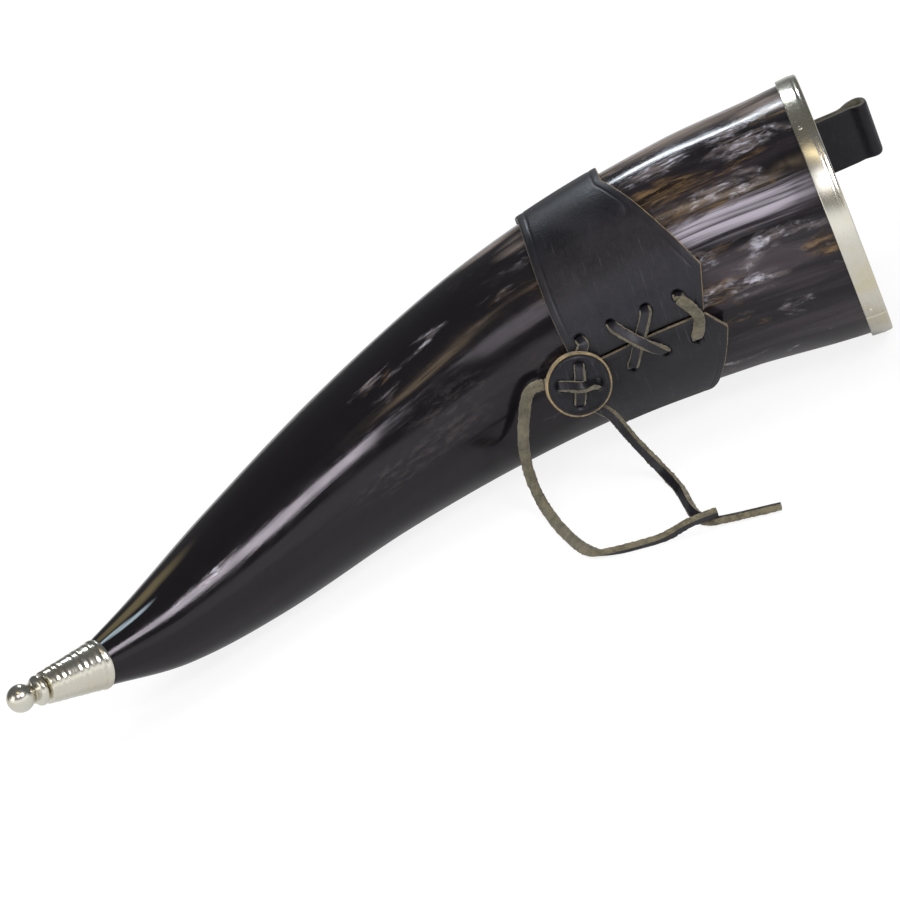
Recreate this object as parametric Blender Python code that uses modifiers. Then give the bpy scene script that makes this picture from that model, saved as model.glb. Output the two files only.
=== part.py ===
# Drinking horn in a laced leather belt holder, lying on its side at rest.
# Every piece is modelled in the horn's own frame: the mouth centre is the origin, +X points out of
# the mouth, -Y is the laced side and +Y the belt loop's side. One empty lays it all on the ground.

from math import cos, pi, radians, sin, sqrt

import bmesh
import bpy
from mathutils import Euler, Matrix, Vector

MM = 0.001

# Horn: reach from the mouth to the tip and sweep towards the lacing
HORN_REACH = 240 * MM
HORN_SWEEP = 101 * MM
# Share of the reach, share of the sweep, rise and radius at each station
HORN_STATIONS = (
    (0, 0, 0 * MM, 40 * MM),
    (0.042, 0, 0 * MM, 39.4 * MM),
    (0.171, 0.02, 2 * MM, 37 * MM),
    (0.342, 0.059, 1 * MM, 33.5 * MM),
    (0.5, 0.153, -1 * MM, 29.5 * MM),
    (0.663, 0.347, -1 * MM, 24.5 * MM),
    (0.821, 0.624, 1 * MM, 19 * MM),
    (0.921, 0.842, 6 * MM, 13.4 * MM),
    (1, 1, 12.5 * MM, 6.8 * MM),
)
HORN_WALL = 3.2 * MM
BORE_DEPTH = 170 * MM
BORE_ROUNDING = 50 * MM
HORN_SIDES_RESOLUTION = 16
RING_STEP = 8 * MM

# Clearance between pieces that touch
FIT = 0.3 * MM

# Rim band and its nails
BAND_SHEET = 0.8 * MM
BAND_DEPTH = 5.5 * MM
BAND_TURN_IN = 3 * MM
BAND_SIDES = 48
PIN_COUNT = 4
PIN_FIRST_ANGLE = radians(-20)
PIN_HEAD_RADIUS = 0.8 * MM
PIN_HEAD_RISE = 0.5 * MM
PIN_RADIUS = 0.45 * MM
PIN_LENGTH = 2.4 * MM
PIN_SET_BACK = 3.4 * MM

# Ferrule and knob on the tip, which lean up a little from the horn's own end
TIP_LEAN = 0.15
FERRULE_SET_OFF = 0.9 * MM
FERRULE_LENGTH = 19.3 * MM
FERRULE_BASE_RADIUS = 7.2 * MM
FERRULE_END_RADIUS = 4.7 * MM
FERRULE_WALL = 0.8 * MM
FERRULE_BAND = 1.6 * MM
RIDGE_RISE = 0.3 * MM
RIDGE_WIDTH = 1 * MM
RIDGE_PLACES = (2.4 * MM, 6.2 * MM, 8.2 * MM, 13.4 * MM, 15.4 * MM)
TENON_LENGTH = 11 * MM
STUD_RADIUS = 1.5 * MM
STUD_LENGTH = 3 * MM
BEAD_RADIUS = 4.4 * MM
BEAD_LENGTH = 2.7 * MM
NECK_RADIUS = 2.3 * MM
NECK_LENGTH = 1 * MM
BALL_RADIUS = 4 * MM
TURNED_SIDES = 32

# Lace: the held length
LACE_DIAMETER = 1.8 * MM
BAR_BULGE = 3 * MM
LACE_POINT_STEP = 1.1 * MM
LACE_SIDES_RESOLUTION = 2

# Leather wrap, laced at the seam
WRAP_LEATHER = 1.8 * MM
WRAP_SEAM_END = 51 * MM
FLAP_REACH = 4.5 * MM
BACK_SET = 11 * MM
TIP_SLANT = 8 * MM
TIP_SLANT_ANGLE = radians(105)
UPPER_CORNER_ANGLE = radians(19)
LOWER_CORNER_ANGLE = radians(10)
BACK_ANGLE = radians(82)
SEAM_ANGLE = radians(11.5)
STRAP_ANGLE = radians(189)
SEAM_GAP = 0.8 * MM
LACE_ROOM_SPARE = 0.7 * MM
LACE_ROOM = LACE_DIAMETER + LACE_ROOM_SPARE
LACE_ROOM_ANGLE = radians(50)
WRAP_ROWS = 8

# Rows of lace holes along the seam, from the wrap's mouth end to its tip end
LACE_HOLE_ROOM = 1.2 * MM
LACE_HOLE_RADIUS = LACE_DIAMETER / 2 + LACE_HOLE_ROOM
LACE_HOLE_OFFSET = 6.8 * MM
BAR_MARGIN = 5 * MM
BAR_TO_CROSS = 10.5 * MM
CROSS_LENGTH = 13 * MM
CROSS_TO_BUTTON_HOLES = 11 * MM
TIP_MARGIN = 5.5 * MM

# Places along the horn that follow from these
WRAP_CORNER = WRAP_SEAM_END - FLAP_REACH
WRAP_BACK_EDGE = WRAP_SEAM_END + BACK_SET
BAR_ALONG = WRAP_SEAM_END + BAR_MARGIN
CROSS_START_ALONG = BAR_ALONG + BAR_TO_CROSS
CROSS_END_ALONG = CROSS_START_ALONG + CROSS_LENGTH
BUTTON_HOLES_ALONG = CROSS_END_ALONG + CROSS_TO_BUTTON_HOLES
WRAP_TIP_EDGE = BUTTON_HOLES_ALONG + TIP_MARGIN

# Button on the lace
BUTTON_PAST_HOLES = 7.9 * MM
BUTTON_ALONG = BUTTON_HOLES_ALONG + BUTTON_PAST_HOLES
BUTTON_OFFSET = -2 * MM
BUTTON_RADIUS = 9.75 * MM
BUTTON_THICKNESS = 2.4 * MM
BUTTON_ROOM = 1.6 * MM
BUTTON_STANDOFF = LACE_DIAMETER + BUTTON_ROOM
BUTTON_TILT = radians(10)
BUTTON_TURN = radians(28)
BUTTON_HOLE_OFFSET = 5.6 * MM
BUTTON_HOLE_ROOM = 1.3 * MM
BUTTON_HOLE_RADIUS = LACE_DIAMETER / 2 + BUTTON_HOLE_ROOM
BUTTON_EDGE = 0.5 * MM
TAIL_1_ANGLE = radians(28)
TAIL_2_ANGLE = radians(262)

# Free ends of the lace, from the button to the ground, as they lie at rest
TAIL_POINT_STEP = 4 * MM
TAIL_1_ROUTE = (
    (14.6 * MM, -12.6 * MM, 29.5 * MM),
    (11.6 * MM, -12.4 * MM, 20.5 * MM),
    (10.5 * MM, -14.5 * MM, 11.5 * MM),
    (11.5 * MM, -19 * MM, 4.5 * MM),
    (14.5 * MM, -29.5 * MM, 1.5 * MM),
    (19.5 * MM, -44.5 * MM, 1.2 * MM),
    (24 * MM, -52 * MM, 1.2 * MM),
    (30 * MM, -54.5 * MM, 1.2 * MM),
    (38 * MM, -55.5 * MM, 1.2 * MM),
    (45 * MM, -56 * MM, 1.5 * MM),
    (51 * MM, -56.5 * MM, 2.7 * MM),
    (56.5 * MM, -57 * MM, 3.4 * MM),
    (60.5 * MM, -56.5 * MM, 3.4 * MM),
)
TAIL_2_ROUTE = (
    (40 * MM, -14.5 * MM, 20 * MM),
    (42.5 * MM, -15.5 * MM, 13.5 * MM),
    (45.5 * MM, -17 * MM, 7 * MM),
    (48.5 * MM, -21 * MM, 2.3 * MM),
    (51.5 * MM, -31.5 * MM, 1.2 * MM),
    (53 * MM, -42 * MM, 1.2 * MM),
    (54.5 * MM, -49.5 * MM, 1.2 * MM),
    (58 * MM, -54.5 * MM, 1.2 * MM),
    (63.5 * MM, -56.2 * MM, 1.2 * MM),
    (70 * MM, -57.3 * MM, 1.2 * MM),
    (78 * MM, -58.5 * MM, 1.2 * MM),
)

# Belt loop and its rivets
STRAP_WIDTH = 18 * MM
STRAP_LEATHER = 1.6 * MM
STRAP_PAST_RIM = 19 * MM
STRAP_RIM_GAP = 1.2 * MM
STRAP_POINT_STEP = 1.6 * MM
BELT_GAP = 8 * MM
TAB_LENGTH = 24 * MM
FOLD_RADIUS = 2.3 * MM
RIVET_HEAD_RADIUS = 3.5 * MM
RIVET_HEAD_THICKNESS = 0.8 * MM
RIVET_RADIUS = 1.3 * MM
RIVET_SPACING = 11 * MM

# How the horn lies
REST_ROLL = radians(8.46)
REST_PITCH = radians(-3.81)
REST_LOCATION = Vector((122 * MM, 36.25 * MM, 41.06 * MM))


def new_collection(name):
    collection = bpy.data.collections.new(name)
    bpy.context.scene.collection.children.link(collection)
    return collection


def material(name, colour, roughness, metallic=0.0):
    made = bpy.data.materials.new(name)
    made.use_nodes = True
    shader = made.node_tree.nodes["Principled BSDF"]
    shader.inputs["Base Color"].default_value = (*colour, 1)
    shader.inputs["Roughness"].default_value = roughness
    shader.inputs["Metallic"].default_value = metallic
    return made


def place(name, data, finish, parent, smooth=True):
    piece = bpy.data.objects.new(name, data)
    parts.objects.link(piece)
    data.materials.append(finish)
    piece.parent = parent
    if parent is holder:
        piece.matrix_parent_inverse = holder.matrix_local.inverted()
    if smooth and isinstance(data, bpy.types.Mesh):
        data.shade_smooth()
        data.set_sharp_from_angle(angle=radians(35))
    return piece


def place_cutter(name, mesh):
    cutter = bpy.data.objects.new(name, mesh)
    cutters.objects.link(cutter)
    cutter.parent = rest_pose
    cutter.hide_render = True
    cutter.display_type = "WIRE"
    return cutter


def cut(piece, cutter):
    modifier = piece.modifiers.new(cutter.name, "BOOLEAN")
    modifier.operation = "DIFFERENCE"
    modifier.object = cutter


def hermite(places, values, at, first_slope=None):
    # Smooth curve through values at the given places, read at one place.
    # A first slope holds at the first two places, so that the curve starts straight
    count = len(places)
    slopes = []
    for i in range(count):
        before = max(i - 1, 0)
        after = min(i + 1, count - 1)
        slopes.append((values[after] - values[before]) / (places[after] - places[before]))
    if first_slope is not None:
        slopes[:2] = [first_slope, first_slope]
    i = max(j for j in range(count - 1) if j == 0 or places[j] <= at)
    width = places[i + 1] - places[i]
    t = (at - places[i]) / width
    return (
        (2 * t**3 - 3 * t**2 + 1) * values[i]
        + (t**3 - 2 * t**2 + t) * width * slopes[i]
        + (3 * t**2 - 2 * t**3) * values[i + 1]
        + (t**3 - t**2) * width * slopes[i + 1]
    )


def station_centres():
    centres = []
    for reach, sweep, rise, _ in HORN_STATIONS:
        centres.append(Vector((-reach * HORN_REACH, -sweep * HORN_SWEEP, rise)))
    return centres


def station_distances():
    # Distance of each station from the mouth, measured along the horn
    distances = [0.0]
    centres = station_centres()
    for before, after in zip(centres, centres[1:]):
        distances.append(distances[-1] + (after - before).length)
    return distances


def horn_centre(along):
    x, y, z = zip(*station_centres())
    return Vector((
        hermite(station_places, x, along, -1.0),
        hermite(station_places, y, along, 0.0),
        hermite(station_places, z, along, 0.0),
    ))


def horn_radius(along):
    return hermite(station_places, [station[3] for station in HORN_STATIONS], along)


def horn_frame(along):
    # Direction to the tip, to the laced side and up, at one distance along the horn
    step = 0.5 * MM
    to_tip = (horn_centre(along + step) - horn_centre(along - step)).normalized()
    front = Vector((0, -1, 0))
    front = (front - front.dot(to_tip) * to_tip).normalized()
    return to_tip, front, to_tip.cross(front)


def outward(along, angle):
    _, front, up = horn_frame(along)
    return front * cos(angle) + up * sin(angle)


def on_horn(along, angle, lift):
    return horn_centre(along) + outward(along, angle) * (horn_radius(along) + lift)


def steps(start, end, count):
    return [start + (end - start) * i / count for i in range(count + 1)]


def smooth_route(points, step):
    # Evenly spaced points on a smooth curve through the route's own points
    places = [0.0]
    for before, after in zip(points, points[1:]):
        places.append(places[-1] + (after - before).length)
    count = max(2, round(places[-1] / step))
    route = []
    for at in steps(0, places[-1], count):
        route.append(Vector([hermite(places, [p[i] for p in points], at) for i in range(3)]))
    return route


def tube_curve(name, points, radii, resolution):
    data = bpy.data.curves.new(name, "CURVE")
    data.dimensions = "3D"
    data.bevel_depth = 1.0
    data.bevel_resolution = resolution
    data.use_fill_caps = True
    spline = data.splines.new("POLY")
    spline.points.add(len(points) - 1)
    for target, point, radius in zip(spline.points, points, radii):
        target.co = (*point, 1)
        target.radius = radius
    return data


def tube_mesh(name, points, radii, resolution):
    # A tube curve turned into a closed mesh, so that it can be cut
    curve = bpy.data.objects.new(name, tube_curve(name, points, radii, resolution))
    bpy.context.scene.collection.objects.link(curve)
    bpy.context.view_layer.update()
    mesh = bpy.data.meshes.new_from_object(curve.evaluated_get(bpy.context.evaluated_depsgraph_get()))
    mesh.name = name
    data = curve.data
    bpy.data.objects.remove(curve)
    bpy.data.curves.remove(data)
    shell = bmesh.new()
    shell.from_mesh(mesh)
    bmesh.ops.remove_doubles(shell, verts=shell.verts, dist=0.001 * MM)
    bmesh.ops.recalc_face_normals(shell, faces=shell.faces)
    shell.to_mesh(mesh)
    shell.free()
    return mesh


def turned_piece(name, profile, sides, finish, parent):
    # A closed profile of (distance along, radius) turned about the local X axis
    mesh = bpy.data.meshes.new(name)
    outline = bmesh.new()
    points = [outline.verts.new((along, 0, radius)) for along, radius in profile]
    for before, after in zip(points, points[1:]):
        outline.edges.new((before, after))
    if profile[0][1] > 0:
        outline.edges.new((points[-1], points[0]))
    outline.to_mesh(mesh)
    outline.free()
    piece = place(name, mesh, finish, parent, smooth=False)
    turn = piece.modifiers.new("turned", "SCREW")
    turn.axis = "X"
    turn.steps = sides
    turn.render_steps = sides
    turn.use_merge_vertices = True
    turn.merge_threshold = 0.001 * MM
    return piece


def sheet(name, columns, rows, point_at, leather, finish, parent):
    # A sheet of leather: a grid whose points are laid in place, then thickened both ways
    grid = bmesh.new()
    bmesh.ops.create_grid(grid, x_segments=columns, y_segments=rows, size=0.5)
    for corner in grid.verts:
        column = round((corner.co.x + 0.5) * columns)
        row = round((corner.co.y + 0.5) * rows)
        corner.co = point_at(column, row)
    mesh = bpy.data.meshes.new(name)
    grid.to_mesh(mesh)
    grid.free()
    piece = place(name, mesh, finish, parent)
    thick = piece.modifiers.new("leather", "SOLIDIFY")
    thick.thickness = leather
    thick.offset = 0
    thick.use_even_offset = True
    return piece


def pegs(name, places, radius, length):
    # Straight pegs that cut holes: each place is a centre and a direction
    mesh = bpy.data.meshes.new(name)
    made = bmesh.new()
    for centre, direction in places:
        turn = direction.to_track_quat("Z", "Y").to_matrix().to_4x4()
        bmesh.ops.create_cone(
            made, cap_ends=True, segments=16, radius1=radius, radius2=radius, depth=length,
            matrix=Matrix.Translation(centre) @ turn,
        )
    made.to_mesh(mesh)
    made.free()
    return place_cutter(name, mesh)


def tip_frame():
    # The straight axis of the horn's end, which the ferrule and the knob are turned about
    to_tip, _, _ = horn_frame(horn_length - 1 * MM)
    return horn_centre(horn_length), (to_tip + Vector((0, 0, TIP_LEAN))).normalized()


def pin_places():
    places = []
    for i in range(PIN_COUNT):
        angle = PIN_FIRST_ANGLE + 2 * pi * i / PIN_COUNT
        direction = Vector((0, -cos(angle), sin(angle)))
        radius = horn_radius(PIN_SET_BACK) + FIT + BAND_SHEET
        places.append((Vector((-PIN_SET_BACK, 0, 0)) + direction * radius, direction))
    return places


def horn_body():
    start, to_tip = tip_frame()
    seat = FERRULE_BASE_RADIUS - FERRULE_WALL - FIT
    tenon_end = seat - (FERRULE_BASE_RADIUS - FERRULE_END_RADIUS) * TENON_LENGTH / FERRULE_LENGTH
    ring_count = round(horn_length / RING_STEP)
    points = [horn_centre(along) for along in steps(0, horn_length, ring_count)]
    radii = [horn_radius(along) for along in steps(0, horn_length, ring_count)]
    points += [start + to_tip * FIT, start + to_tip * TENON_LENGTH]
    radii += [seat, tenon_end]
    piece = place("horn_body", tube_mesh("horn_body", points, radii, HORN_SIDES_RESOLUTION), horn, rest_pose)

    bore_points = [Vector((FIT, 0, 0))]
    bore_radii = [horn_radius(0) - HORN_WALL]
    flat_depth = BORE_DEPTH - BORE_ROUNDING
    for along in steps(0, flat_depth, round(flat_depth / RING_STEP)):
        bore_points.append(horn_centre(along))
        bore_radii.append(horn_radius(along) - HORN_WALL)
    for turn in steps(0, 0.45 * pi, 6)[1:]:
        along = flat_depth + BORE_ROUNDING * sin(turn)
        bore_points.append(horn_centre(along))
        bore_radii.append((horn_radius(along) - HORN_WALL) * sqrt(cos(turn)))
    bore_mesh = tube_mesh("bore", bore_points, bore_radii, HORN_SIDES_RESOLUTION)
    cut(piece, place_cutter("bore", bore_mesh))
    cut(piece, pegs("pin_holes_horn", pin_places(), PIN_RADIUS + FIT / 2, 2 * (PIN_LENGTH + FIT)))


def rim_band():
    outer = horn_radius(0) + FIT
    inner = horn_radius(0) - HORN_WALL - FIT
    back = horn_radius(BAND_DEPTH) + FIT
    turn_in = horn_radius(BAND_TURN_IN) - HORN_WALL - FIT
    top = FIT + BAND_SHEET
    corner = BAND_SHEET / 2
    profile = [
        (-BAND_DEPTH, back),
        (-BAND_DEPTH, back + BAND_SHEET),
        (0, outer + BAND_SHEET),
        (top - corner, outer + BAND_SHEET),
        (top, outer + BAND_SHEET - corner),
        (top, inner - BAND_SHEET + corner),
        (top - corner, inner - BAND_SHEET),
        (0, inner - BAND_SHEET),
        (-BAND_TURN_IN, turn_in - BAND_SHEET),
        (-BAND_TURN_IN, turn_in),
        (FIT, inner),
        (FIT, outer),
    ]
    profile.reverse()
    piece = turned_piece("rim_band", profile, BAND_SIDES, nickel, rest_pose)
    cut(piece, pegs("pin_holes_band", pin_places(), PIN_RADIUS + FIT / 2, 2 * BAND_SHEET + 4 * FIT))


def rim_pins():
    profile = [
        (PIN_HEAD_RISE, 0),
        (PIN_HEAD_RISE * 0.6, PIN_HEAD_RADIUS * 0.7),
        (FIT / 2, PIN_HEAD_RADIUS),
        (FIT / 2, PIN_RADIUS),
        (-PIN_LENGTH, PIN_RADIUS),
        (-PIN_LENGTH - PIN_RADIUS, 0),
    ]
    for i, (centre, direction) in enumerate(pin_places()):
        piece = turned_piece(f"rim_pin_{i + 1}", profile, 12, nickel, rest_pose)
        piece.location = centre
        piece.rotation_mode = "QUATERNION"
        piece.rotation_quaternion = direction.to_track_quat("X", "Z")


def on_tip_axis(piece, along):
    start, to_tip = tip_frame()
    piece.location = start + to_tip * along
    piece.rotation_mode = "QUATERNION"
    piece.rotation_quaternion = to_tip.to_track_quat("X", "Z")


def ferrule_radius(along):
    return FERRULE_BASE_RADIUS + (FERRULE_END_RADIUS - FERRULE_BASE_RADIUS) * along / FERRULE_LENGTH


def tip_ferrule():
    profile = [(0, FERRULE_BASE_RADIUS), (FERRULE_BAND, ferrule_radius(FERRULE_BAND))]
    for along in RIDGE_PLACES:
        profile.append((along - RIDGE_WIDTH / 2, ferrule_radius(along - RIDGE_WIDTH / 2)))
        profile.append((along, ferrule_radius(along) + RIDGE_RISE))
        profile.append((along + RIDGE_WIDTH / 2, ferrule_radius(along + RIDGE_WIDTH / 2)))
    profile.append((FERRULE_LENGTH, FERRULE_END_RADIUS))
    profile.append((FERRULE_LENGTH, STUD_RADIUS + FIT))
    floor = TENON_LENGTH + FIT
    profile.append((floor, STUD_RADIUS + FIT))
    profile.append((floor, ferrule_radius(floor) - FERRULE_WALL))
    profile.append((0, FERRULE_BASE_RADIUS - FERRULE_WALL))
    profile.reverse()
    piece = turned_piece("tip_ferrule", profile, TURNED_SIDES, nickel, rest_pose)
    on_tip_axis(piece, FERRULE_SET_OFF)


def finial_knob():
    ball_centre = BEAD_LENGTH + NECK_LENGTH + sqrt(BALL_RADIUS**2 - NECK_RADIUS**2)
    profile = [(-STUD_LENGTH, 0), (-STUD_LENGTH, STUD_RADIUS), (0, STUD_RADIUS)]
    for turn in steps(0.15 * pi, 0.85 * pi, 8):
        profile.append((BEAD_LENGTH * (1 - cos(turn)) / 2, BEAD_RADIUS * sin(turn)))
    profile.append((BEAD_LENGTH, NECK_RADIUS))
    for turn in steps(0.19 * pi, pi, 10):
        profile.append((ball_centre - BALL_RADIUS * cos(turn), BALL_RADIUS * sin(turn)))
    profile[-1] = (ball_centre + BALL_RADIUS, 0)
    profile.reverse()
    piece = turned_piece("finial_knob", profile, TURNED_SIDES, nickel, rest_pose)
    on_tip_axis(piece, FERRULE_SET_OFF + FERRULE_LENGTH + FIT)


def wrap_gap(from_seam):
    # Room under the leather: snug at the back, lifted over the lace beside the seam
    if abs(from_seam) >= LACE_ROOM_ANGLE:
        return FIT
    return FIT + LACE_ROOM * cos(pi / 2 * from_seam / LACE_ROOM_ANGLE) ** 2


def wrap_mouth_edge(from_seam):
    turned = abs(from_seam)
    corner = UPPER_CORNER_ANGLE if from_seam > 0 else LOWER_CORNER_ANGLE
    if turned < corner:
        return WRAP_SEAM_END - FLAP_REACH * turned / corner
    share = min((turned - corner) / (BACK_ANGLE - corner), 1)
    return WRAP_CORNER + (WRAP_BACK_EDGE - WRAP_CORNER) * share


def wrap_tip_edge(from_seam):
    turned = min(abs(from_seam) / TIP_SLANT_ANGLE, 1)
    return WRAP_TIP_EDGE - TIP_SLANT * (1 - cos(pi * turned)) / 2


def flap_columns(corner):
    # Angles from the seam to the middle of the back, closer together where the edge turns
    start = SEAM_GAP / 2 / horn_radius(WRAP_TIP_EDGE)
    return steps(start, corner, 4)[:-1] + steps(corner, BACK_ANGLE, 12)[:-1] + steps(BACK_ANGLE, pi, 12)


def wrap_columns():
    lower = [2 * pi - angle for angle in flap_columns(LOWER_CORNER_ANGLE)[:-1]]
    return flap_columns(UPPER_CORNER_ANGLE) + lower[::-1]


def side_angle(along, offset):
    # Angle of a place beside the seam, from its distance round the horn
    return SEAM_ANGLE + offset / (horn_radius(along) + WRAP_LEATHER)


def wrap_outside(along, offset):
    return wrap_gap(side_angle(along, offset) - SEAM_ANGLE) + WRAP_LEATHER


def lace_holes():
    places = []
    for along in (BAR_ALONG, CROSS_START_ALONG, CROSS_END_ALONG, BUTTON_HOLES_ALONG):
        for side in (1, -1):
            angle = side_angle(along, side * LACE_HOLE_OFFSET)
            lift = wrap_outside(along, side * LACE_HOLE_OFFSET) - WRAP_LEATHER / 2
            places.append((on_horn(along, angle, lift), outward(along, angle)))
    return places


def rivet_places():
    middle = WRAP_BACK_EDGE + TAB_LENGTH / 2
    places = []
    for along in (middle - RIVET_SPACING / 2, middle + RIVET_SPACING / 2):
        places.append((on_horn(along, STRAP_ANGLE, 0), outward(along, STRAP_ANGLE)))
    return places


def holder_wrap():
    columns = wrap_columns()

    def point_at(column, row):
        angle = columns[column]
        from_seam = angle if angle <= pi else angle - 2 * pi
        start = wrap_mouth_edge(from_seam)
        along = start + (wrap_tip_edge(from_seam) - start) * row / WRAP_ROWS
        return on_horn(along, SEAM_ANGLE + angle, wrap_gap(from_seam) + WRAP_LEATHER / 2)

    piece = sheet("holder_wrap", len(columns) - 1, WRAP_ROWS, point_at, WRAP_LEATHER, black_leather, holder)
    cut(piece, pegs("lace_holes", lace_holes(), LACE_HOLE_RADIUS, 3 * WRAP_LEATHER))
    rivets = [(base + out * (FIT + WRAP_LEATHER / 2), out) for base, out in rivet_places()]
    cut(piece, pegs("rivet_holes_wrap", rivets, RIVET_RADIUS + FIT, 3 * WRAP_LEATHER))
    sunk = RIVET_HEAD_THICKNESS + FIT
    recesses = [(base + out * (FIT + sunk / 2 - WRAP_LEATHER / 2), out) for base, out in rivet_places()]
    cut(piece, pegs("rivet_recesses", recesses, RIVET_HEAD_RADIUS + FIT, sunk + WRAP_LEATHER))


def button_frame():
    # Centre, direction to the tip, upwards across and outward normal of the button
    angle = side_angle(BUTTON_ALONG, BUTTON_OFFSET)
    lift = wrap_outside(BUTTON_ALONG, BUTTON_OFFSET) + BUTTON_STANDOFF + BUTTON_THICKNESS / 2
    centre = on_horn(BUTTON_ALONG, angle, lift)
    to_tip, _, _ = horn_frame(BUTTON_ALONG)
    normal = outward(BUTTON_ALONG, angle + BUTTON_TILT)
    return centre, to_tip, normal.cross(to_tip), normal


def on_button(angle, radius, height):
    centre, to_tip, across, normal = button_frame()
    return centre + (to_tip * cos(angle) - across * sin(angle)) * radius + normal * height


def button_holes():
    _, _, _, normal = button_frame()
    turns = [BUTTON_TURN + i * pi / 2 for i in range(4)]
    return [(on_button(turn, BUTTON_HOLE_OFFSET, 0), normal) for turn in turns]


def holder_button():
    centre, to_tip, across, normal = button_frame()
    half = BUTTON_THICKNESS / 2
    profile = [
        (half, 0),
        (half, BUTTON_RADIUS - BUTTON_EDGE),
        (half - BUTTON_EDGE, BUTTON_RADIUS),
        (BUTTON_EDGE - half, BUTTON_RADIUS),
        (-half, BUTTON_RADIUS - BUTTON_EDGE),
        (-half, 0),
    ]
    piece = turned_piece("holder_button", profile, TURNED_SIDES, black_leather, holder)
    piece.location = centre
    piece.rotation_mode = "QUATERNION"
    piece.rotation_quaternion = normal.to_track_quat("X", "Z")
    cut(piece, pegs("button_holes", button_holes(), BUTTON_HOLE_RADIUS, 2 * BUTTON_THICKNESS))


def beside_seam(along, offset, lift):
    return on_horn(along, side_angle(along, offset), lift)


def lace_half(side, rise):
    # From the bar's middle, under the wrap, over the cross and up to the button's back
    half = LACE_DIAMETER / 2
    edge = LACE_HOLE_OFFSET
    near = edge - LACE_HOLE_RADIUS * 0.6

    def outside(along, offset, extra=0.0):
        return beside_seam(along, offset, wrap_outside(along, offset) + FIT + half + extra)

    def in_hole(along, offset):
        return beside_seam(along, offset, wrap_outside(along, offset) - WRAP_LEATHER / 2)

    def inside(along, offset):
        return beside_seam(along, offset, FIT + half)

    step = LACE_HOLE_RADIUS
    middle = (CROSS_START_ALONG + CROSS_END_ALONG) / 2
    return [
        outside(BAR_ALONG - BAR_BULGE * 0.6, side * near * 0.6, half * 0.5),
        outside(BAR_ALONG - half * 0.4, side * near),
        in_hole(BAR_ALONG, side * edge),
        inside(BAR_ALONG + step, side * edge),
        inside(CROSS_START_ALONG - step, side * edge),
        in_hole(CROSS_START_ALONG, side * edge),
        outside(CROSS_START_ALONG + half, side * near),
        outside(middle, 0, rise),
        outside(CROSS_END_ALONG - half, -side * near),
        in_hole(CROSS_END_ALONG, -side * edge),
        inside(CROSS_END_ALONG + step, -side * edge),
        inside(BUTTON_HOLES_ALONG - step, -side * edge),
        in_hole(BUTTON_HOLES_ALONG, -side * edge),
        outside(BUTTON_HOLES_ALONG, -side * near),
    ]


def over_button(start, end, rise):
    # Up through one hole of the button, over its face and down through the opposite one
    half = LACE_DIAMETER / 2
    face = BUTTON_THICKNESS / 2 + FIT + half
    over_edge = BUTTON_HOLE_OFFSET - BUTTON_HOLE_RADIUS
    return [
        on_button(start, BUTTON_HOLE_OFFSET, -face),
        on_button(start, BUTTON_HOLE_OFFSET, BUTTON_THICKNESS / 4),
        on_button(start, over_edge, face),
        on_button(start, 0, face + rise),
        on_button(end, over_edge, face),
        on_button(end, BUTTON_HOLE_OFFSET, BUTTON_THICKNESS / 4),
        on_button(end, BUTTON_HOLE_OFFSET, -face),
    ]


def tail_exit(angle):
    # Where a free end leaves the button, under its edge
    return on_button(angle, BUTTON_RADIUS, -BUTTON_THICKNESS / 2 - FIT - LACE_DIAMETER / 2)


def lace_tail(name, hole, angle, ground_route):
    leaving = (tail_exit(angle) - over_button(hole, hole, 0)[0]).normalized()
    start = tail_exit(angle) + leaving * FIT
    straight = start + leaving * TAIL_POINT_STEP
    points = [rest_pose.matrix_world @ start, rest_pose.matrix_world @ straight]
    points += [Vector(point) for point in ground_route]
    to_horn = rest_pose.matrix_world.inverted()
    route = [to_horn @ point for point in smooth_route(points, TAIL_POINT_STEP)]
    data = tube_curve(name, route, [LACE_DIAMETER / 2] * len(route), LACE_SIDES_RESOLUTION)
    place(name, data, lace_leather, holder)


def holder_lace():
    cross_rise = LACE_DIAMETER + FIT
    bar = beside_seam(
        BAR_ALONG - BAR_BULGE, 0, wrap_outside(BAR_ALONG, 0) + FIT + LACE_DIAMETER / 2 * 1.6
    )
    top = BUTTON_TURN + pi / 2
    right = BUTTON_TURN + pi
    to_tail_1 = lace_half(1, 0) + over_button(right, BUTTON_TURN, cross_rise) + [tail_exit(TAIL_1_ANGLE)]
    to_tail_2 = lace_half(-1, cross_rise) + over_button(top, top + pi, 0) + [tail_exit(TAIL_2_ANGLE)]
    route = smooth_route(list(reversed(to_tail_1)) + [bar] + to_tail_2, LACE_POINT_STEP)
    data = tube_curve("holder_lace", route, [LACE_DIAMETER / 2] * len(route), LACE_SIDES_RESOLUTION)
    place("holder_lace", data, lace_leather, holder)


def tab_lift(layer):
    # Middle of one leather layer of the tab, above the horn
    return FIT + WRAP_LEATHER + (FIT + STRAP_LEATHER) * layer + FIT + STRAP_LEATHER / 2


def belt_loop_tab(name, layer):
    columns = 6
    rows = 6

    def point_at(column, row):
        along = WRAP_BACK_EDGE + FIT + (TAB_LENGTH - FIT) * row / rows
        offset = STRAP_WIDTH * (column / columns - 0.5)
        angle = STRAP_ANGLE + offset / (horn_radius(along) + tab_lift(layer))
        return on_horn(along, angle, tab_lift(layer))

    piece = sheet(name, columns, rows, point_at, STRAP_LEATHER, black_leather, holder)
    holes = [(base + out * tab_lift(layer), out) for base, out in rivet_places()]
    cut(piece, pegs(f"rivet_holes_{name}", holes, RIVET_RADIUS + FIT, 3 * STRAP_LEATHER))


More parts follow.
